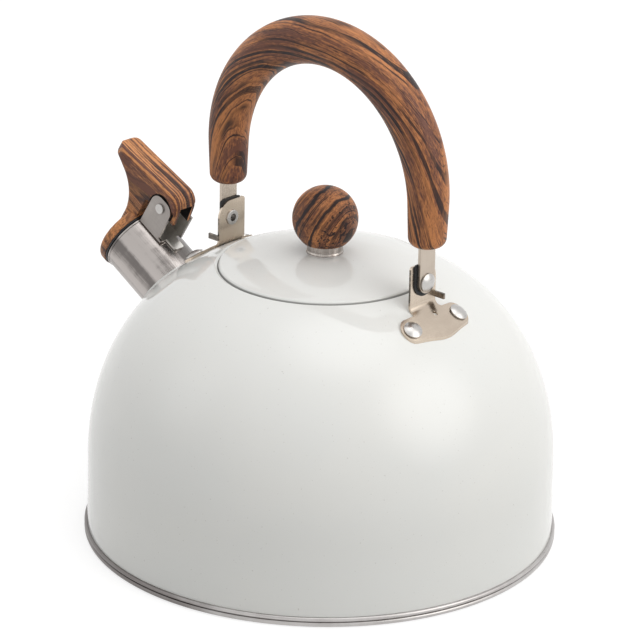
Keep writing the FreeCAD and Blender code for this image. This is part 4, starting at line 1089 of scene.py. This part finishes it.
# %% Enamel
ENAMEL_WHITE = (0.805, 0.81, 0.788)
ENAMEL_CLOUD = (0.79, 0.80, 0.783)
SPECK_BROWN = (0.45, 0.43, 0.4)
GAP_SHADE_GREY = (0.15, 0.15, 0.145)
CLOUD_SIZE = (60, 60, 40)
SPECK_SIZE = (0.9, 0.9, 0.9)
SPECK_STRENGTH = 0.5
PEEL_SIZE = (3.5, 3.5, 3.5)
PEEL_DEPTH = 0.02
enamel, tree, shader = finish("white_enamel", IOR=1.52)
place = object_place(tree)
cloud = ramp(noise(place, CLOUD_SIZE), 0.3, 0.7)
specks = ramp(noise(place, SPECK_SIZE, 1.0), 0.74, 0.8)
colour = blend(cloud, ENAMEL_WHITE, ENAMEL_CLOUD)
colour = blend(figure("MULTIPLY", specks, SPECK_STRENGTH), colour, SPECK_BROWN)
# Painted shade: the enamel turns grey along the lid's gap.
coloured(shader, blend(painted_gap_shade(place), colour, GAP_SHADE_GREY))
handled(shader, place, lowest=0.04, highest=0.09)
relief(shader, noise(place, PEEL_SIZE, 1.0), PEEL_DEPTH)
wear(enamel, body, lid)

# %% [markdown]
# ## Wood-look mouldings
#
# The grip, the knob and the cap lever are heat-resistant mouldings with the same printed wood, but each
# shows it differently. On the grip the grain runs with the arch, so it reads the straightened place. The
# knob looks cut from a block with two dark growth bands, with the end of the grain in sight on one side.
# The lever's grain runs along its thumb rest in narrow stripes, and on the disc over the spout it turns
# around a heart. Shade is painted black into the lever's hollows: the spring's pocket and the recesses
# around the ears.

# %% Grip
MOULDING = {"IOR": 1.46, "Specular_IOR_Level": 0.3}
MOULDING_GLOSS = (0.42, 0.52)
PORE_DEPTH = 0.03


def moulded(shader, place, colour, pores, gloss=MOULDING_GLOSS):
    """Dresses a moulding: its print, its handling marks and the pores pressed into it."""
    coloured(shader, colour)
    handled(shader, place, *gloss)
    relief(shader, figure("SUBTRACT", 1.0, pores), PORE_DEPTH)


grip_wood, tree, shader = finish("wood_look_grip", **MOULDING)
straight_place = put("Attribute", tree=tree, attribute_name="straightened").outputs["Vector"]
seen = use(wood, straight_place, Vein_Pitch=6.0, Vein_Seed=31.9, Wander=7.0)
moulded(shader, object_place(tree), seen["Colour"], seen["Pores"])
wear(grip_wood, grip)


# %% A place turned to the grain
def joined(parts):
    """A place from three numbers."""
    return put("CombineXYZ", dict(enumerate(parts))).outputs[0]


def towards(place, direction):
    """How far a place lies in a direction."""
    inputs = {0: place, 1: direction}
    return put("VectorMath", inputs, operation="DOT_PRODUCT").outputs["Value"]


def turned_place(tree, centre, first, third):
    """Place about a centre in millimetres, with the first and third axes laid along two directions."""
    third = Vector(third).normalized()
    first = (Vector(first) - third * third.dot(Vector(first))).normalized()
    inputs = {0: object_place(tree), 1: Vector(centre) * MM}
    local = put("VectorMath", inputs, operation="SUBTRACT").outputs[0]
    return joined([towards(local, side) for side in (first, third.cross(first), third)])


# %% Knob
KNOB_ACROSS = (0.86, 0.15, -0.49)
KNOB_GRAIN = (0.277, 0.514, 0.728)
BAND_WANDER_SIZE = (9, 9, 12)
BAND_WANDER = 5.0
END_GRAIN_FROM = 3.5
END_GRAIN_FULL = 7.0


def growth_band(place, middle, width):
    """A dark band across the grain at a distance in millimetres from the centre, with a wandering edge."""
    wander = noise(place, BAND_WANDER_SIZE, 3.0, (middle, 0, 0))
    at = figure("MULTIPLY_ADD", wander, BAND_WANDER, in_mm(sides(place)[0]))
    away = figure("ABSOLUTE", figure("SUBTRACT", at, middle + BAND_WANDER / 2))
    return line_at(away, width)


knob_wood, tree, shader = finish("wood_look_knob", **MOULDING)
place = turned_place(tree, (0, 0, KNOB_CENTRE_Z), KNOB_ACROSS, KNOB_GRAIN)
bands = any_of(growth_band(place, middle=3.2, width=1.2), growth_band(place, middle=-5.5, width=1.5))
end_grain = ramp(in_mm(sides(place)[0]), END_GRAIN_FROM, END_GRAIN_FULL)
seen = use(wood, place, Vein_Pitch=5.0, Vein_Seed=15.4, Wander=6.0, Own_Bands=bands, Flecks=end_grain,
           Deep_Tone=(0.15, 0.06, 0.035))
moulded(shader, place, seen["Colour"], seen["Pores"])
wear(knob_wood, knob)

# %% Hollows of the cap lever
PIN_ALONG = -8.0  # of the hinge pin, from the spout's mouth
PIN_OVER = 31.6  # of the hinge pin, from the spout's axis
LEVER_FLANK = 7.27  # just inside the lever's sides
POCKET_WALL = 3.83  # just past the pocket's sides
POCKET_FRONT = -1.37  # from the spout's mouth
POCKET_CEILING = 38.03  # over the spout's axis
RECESS_RADIUS = 7.5


def spout_coordinates(tree):
    """Distance over, aside of and along the spout, in millimetres, each as a socket."""
    return [in_mm(part) for part in sides(turned_place(tree, spout_mouth, over, along))]


def painted_hollow_shade(high, aside, forward):
    """1 in the hollows where shade is painted black: the spring's pocket and the ears' recesses."""
    off_centre = figure("ABSOLUTE", aside)
    in_pocket = all_of(figure("LESS_THAN", off_centre, POCKET_WALL),
                       figure("LESS_THAN", forward, POCKET_FRONT),
                       figure("LESS_THAN", high, POCKET_CEILING))
    from_pin = away_from(figure("SUBTRACT", high, PIN_OVER),
                         figure("SUBTRACT", forward, PIN_ALONG))
    in_recess = all_of(figure("LESS_THAN", off_centre, LEVER_FLANK),
                       figure("LESS_THAN", from_pin, RECESS_RADIUS))
    return any_of(in_pocket, in_recess)


print("the pocket is", 2 * POCKET_WALL, "mm wide, and the recesses are", 2 * RECESS_RADIUS, "mm across")

# %% Cap lever
HOLLOW_SHADE_BLACK = (0.01, 0.009, 0.009)
LEVER_LIGHT_TONE = (0.66, 0.29, 0.115)
LEVER_TOP_FALL = 0.095  # slope of the thumb rest against the spout's axis
LEVER_GRAIN_LEAN = 0.12
HEART_BELOW = 11.0  # under the disc's middle
DISC_BELOW, BAR_ABOVE = 17.5, 25.0  # over the spout's axis
STRIPES_FROM, STRIPES_FULL = 19.0, 24.0  # the same
DISC_STRIPING, BAR_STRIPING = 0.3, 1.5


def on_the_cap(place, high, aside, forward):
    """The grain's place, turned on the cap's disc to run around a heart below its middle."""
    over_heart = figure("ADD", high, HEART_BELOW)
    from_heart = away_from(over_heart, aside)
    ring = figure("MULTIPLY", figure("ARCTAN2", aside, over_heart), SPOUT_RADIUS)
    around = joined([figure("MULTIPLY", part, MM) for part in (from_heart, forward, ring)])
    share = ramp(high, DISC_BELOW, BAR_ABOVE)
    return put("Mix", {0: share, 4: around, 5: place}, data_type="VECTOR").outputs[1]


lever_wood, tree, shader = finish("wood_look_lever", **MOULDING)
lever_across = SIDEWAYS + over * LEVER_GRAIN_LEAN
place = turned_place(tree, spout_mouth, lever_across, along - over * LEVER_TOP_FALL)
high, aside, forward = spout_coordinates(tree)
striping = ramp(high, STRIPES_FROM, STRIPES_FULL, DISC_STRIPING, BAR_STRIPING)
on_cap = on_the_cap(place, high, aside, forward)
seen = use(wood, on_cap, Vein_Pitch=4.6, Vein_Seed=5.0, Wander=2.2, Striping=striping,
           Light_Tone=LEVER_LIGHT_TONE)
# Painted shade: the lever's hollows are coloured black.
print_and_hollow_shade = blend(painted_hollow_shade(high, aside, forward), seen["Colour"], HOLLOW_SHADE_BLACK)
moulded(shader, place, print_and_hollow_shade, seen["Pores"], gloss=(0.4, 0.5))
wear(lever_wood, "cap_lever")

# %% [markdown]
# ## Steels
#
# The brackets are nickel-plated and satin: a warm silver whose fine grain blurs what it reflects, with shade
# painted dark onto the stop tabs. The rolled straps are a little deeper. The yoke is stamped from a greyer
# strip, and light is painted pale onto it between its ears. The spout is brushed along its length, over
# paler and darker bands that are painted reflections. The rim is a grey steel, with shade painted onto the
# side away from the key lamp. The collar is turned, and the rivets and the pin are polished. One function
# makes them all; what changes is the colour, the direction of the grain, the gloss, and a mask for painted
# reflection bands or a patch of painted light or shade.

# %% One function for every metal
MARKS_SHARE = 0.35
SCRATCH_DEPTH = 0.004


def steel(name, colour, worn_and_reflection_colour, gloss, lay=object_place, fineness=1.0, depth=SCRATCH_DEPTH, bands=None,
          painted_patch=None, painted_patch_colour=None):
    """A metal finish whose grain runs along the third axis of the place that lay gives."""
    material, tree, shader = finish(name, Metallic=1.0)
    place = lay(tree)
    scratches = use(grain, place, Fineness=fineness)["Grain"]
    wear_and_reflection_bands = figure("MULTIPLY", scratches, 1 - MARKS_SHARE)
    wear_and_reflection_bands = figure("MULTIPLY_ADD", handled(shader, place, *gloss), MARKS_SHARE, wear_and_reflection_bands)
    # For the spout, the bands are painted reflections, added to the wear.
    if bands:
        wear_and_reflection_bands = figure("ADD", wear_and_reflection_bands, bands(place))
    own = blend(ramp(wear_and_reflection_bands, 0.25, 0.75), colour, worn_and_reflection_colour)
    # The patch paints shade or light onto part of the surface: shade on the stop tabs and the rim, light
    # between the yoke's ears.
    if painted_patch:
        own = blend(painted_patch(tree), own, painted_patch_colour)
    coloured(shader, own)
    relief(shader, scratches, depth)
    return material


# %% [markdown]
# The brackets, the straps and the yoke are stamped from sheet. The painted shade and light on them are found
# from their place on the part, by the sizes that the stamping tool has too.

# %% Brackets, straps and yoke
TAB_FROM = 8.47  # from the handle's plane
TAB_TO = 9.6
TAB_ABOVE = 128.3  # over the stove
TAB_PATCH_SIZE = (2.2, 2.2, 2.2)
EARS_INSIDE = 5.95  # from the spout's axis


def painted_tab_shade(tree):
    """1 on the stop tabs, where shade is painted dark."""
    place = object_place(tree)
    _, y, z = sides(place)
    off_middle = figure("ABSOLUTE", y)
    uneven = ramp(noise(place, TAB_PATCH_SIZE), 0.3, 0.6, 0.55, 0.95)
    return all_of(uneven, figure("GREATER_THAN", off_middle, TAB_FROM * MM),
                  figure("LESS_THAN", off_middle, TAB_TO * MM),
                  figure("GREATER_THAN", z, TAB_ABOVE * MM))


def painted_light_between_ears(tree):
    """1 between the yoke's ears, where light is painted pale onto the strip."""
    off_centre = figure("ABSOLUTE", spout_coordinates(tree)[1])
    return figure("LESS_THAN", off_centre, EARS_INSIDE)


def along_spout(tree):
    """Place with the spout's axis along the grain."""
    return turned_place(tree, spout_mouth, SIDEWAYS, along)


# Painted shade: the stop tabs are coloured dark.
nickel = steel("satin_nickel_plate", (0.54, 0.455, 0.37), (0.64, 0.55, 0.455), (0.2, 0.32),
               painted_patch=painted_tab_shade, painted_patch_colour=(0.1, 0.09, 0.08))
wear(nickel, "bracket_front", "bracket_rear")
strap_look = steel("rolled_strap_steel", (0.44, 0.378, 0.315), (0.53, 0.46, 0.39), (0.22, 0.34))
wear(strap_look, "handle_strap_front", "handle_strap_rear")
# Painted light: the yoke is coloured pale between its ears.
yoke_look = steel("stamped_yoke_steel", (0.28, 0.255, 0.24), (0.36, 0.335, 0.315), (0.3, 0.42), along_spout,
                  painted_patch=painted_light_between_ears, painted_patch_colour=(0.78, 0.76, 0.72))
wear(yoke_look, "spout_yoke")

# %% [markdown]
# Paler and darker bands are painted along the spout as reflections: noise around the tube that doesn't
# change along it.

# %% Spout
REFLECTION_BANDS_ROUND = 1.9
REFLECTION_BANDS_SEED = 5.2
REFLECTION_BAND_STRENGTH = 1.9


def painted_reflection_bands(place):
    """Paler and darker bands painted along a tube as reflections."""
    x, y, _ = sides(place)
    at = figure("MULTIPLY_ADD", figure("ARCTAN2", y, x), REFLECTION_BANDS_ROUND, REFLECTION_BANDS_SEED)
    uneven = figure("SUBTRACT", line_noise(at, 2.0), 0.5)
    return figure("MULTIPLY", uneven, REFLECTION_BAND_STRENGTH)


# Painted reflection: the spout's dark and pale colours are the two ends of its painted bands.
spout_look = steel("brushed_spout_steel", (0.165, 0.15, 0.143), (0.45, 0.415, 0.395), (0.24, 0.34),
                   along_spout, depth=2 * SCRATCH_DEPTH, bands=painted_reflection_bands)
wear(spout_look, spout_pipe)

# %% [markdown]
# What was turned has its grain in rings. The place is therefore bent round the kettle's axis: the distance
# from the axis lies across the grain, and the angle lies along it.

# %% Rim, collar and disc
RING_RADIUS = 0.08  # metres; turns an angle into a length along the ring
SHADED_SIDE = (-0.45, -0.9, 0.0)
SHADE_PATCH_SIZE = (16, 16, 3)
SHADE_RAGGED = 0.3


def around_axis(tree):
    """Place with the distance from the kettle's axis across the grain, which then runs in rings."""
    x, y, z = sides(object_place(tree))
    turn = figure("MULTIPLY", figure("ARCTAN2", y, x), RING_RADIUS)
    return joined([away_from(x, y), z, turn])


def painted_side_shade(tree):
    """Painted shade on the rim's side away from the key lamp, with a ragged edge."""
    place = object_place(tree)
    share = figure("DIVIDE", towards(place, SHADED_SIDE), rim_radius * MM)
    ragged = noise(place, SHADE_PATCH_SIZE, 3.0)
    return ramp(figure("MULTIPLY_ADD", ragged, SHADE_RAGGED, share), 0.72, 1.05, 0.0, 0.8)


# Painted shade: the rim is coloured darker on the side away from the key lamp.
rim_look = steel("rolled_rim_steel", (0.42, 0.40, 0.39), (0.54, 0.525, 0.515), (0.26, 0.36), around_axis,
                 painted_patch=painted_side_shade, painted_patch_colour=(0.13, 0.115, 0.11))
wear(rim_look, pan)
collar_look = steel("turned_collar_steel", (0.34, 0.305, 0.28), (0.5, 0.455, 0.42), (0.2, 0.3), around_axis)
wear(collar_look, "knob_collar")
disc_look = steel("turned_aluminium", (0.55, 0.55, 0.55), (0.68, 0.68, 0.69), (0.34, 0.46), around_axis,
                  fineness=0.5, depth=0.01)
wear(disc_look, "base_disc")

# %% Rivets, pins and whistle
polished = steel("polished_rivet_steel", (0.46, 0.445, 0.43), (0.58, 0.565, 0.55), (0.24, 0.34),
                 fineness=1.5, depth=SCRATCH_DEPTH / 2)
wear(polished, "bracket_rivets", "hinge_rivet_front", "hinge_rivet_rear", "lever_pin", "lever_spring",
     "knob_screw", "lid_skirt")
brass = steel("pierced_brass", (0.6, 0.42, 0.17), (0.72, 0.53, 0.24), (0.25, 0.4))
wear(brass, "whistle_disc", "whistle_cup")

# %% [markdown]
# ## Black rubber
#
# The gasket behind the cap, the washer under the knob and the friction washers of the hinges are black
# rubber: almost no colour, a dull sheen, and a fine matt skin from the mould with paler dust in soft
# patches.

# %% Rubber
RUBBER_BLACK = (0.008, 0.009, 0.012)
DUST_GREY = (0.022, 0.023, 0.026)
DUST_SIZE = (4, 4, 4)
SKIN_SIZE = (0.35, 0.35, 0.35)
SKIN_DEPTH = 0.01
rubber, tree, shader = finish("moulded_rubber", IOR=1.45)
place = object_place(tree)
dust = ramp(noise(place, DUST_SIZE, 3.0), 0.5, 0.75)
coloured(shader, blend(dust, RUBBER_BLACK, DUST_GREY))
handled(shader, place, lowest=0.45, highest=0.6)
relief(shader, noise(place, SKIN_SIZE, 3.0), SKIN_DEPTH)
wear(rubber, "cap_gasket", "hinge_washer_front", "hinge_washer_rear", "knob_washer")
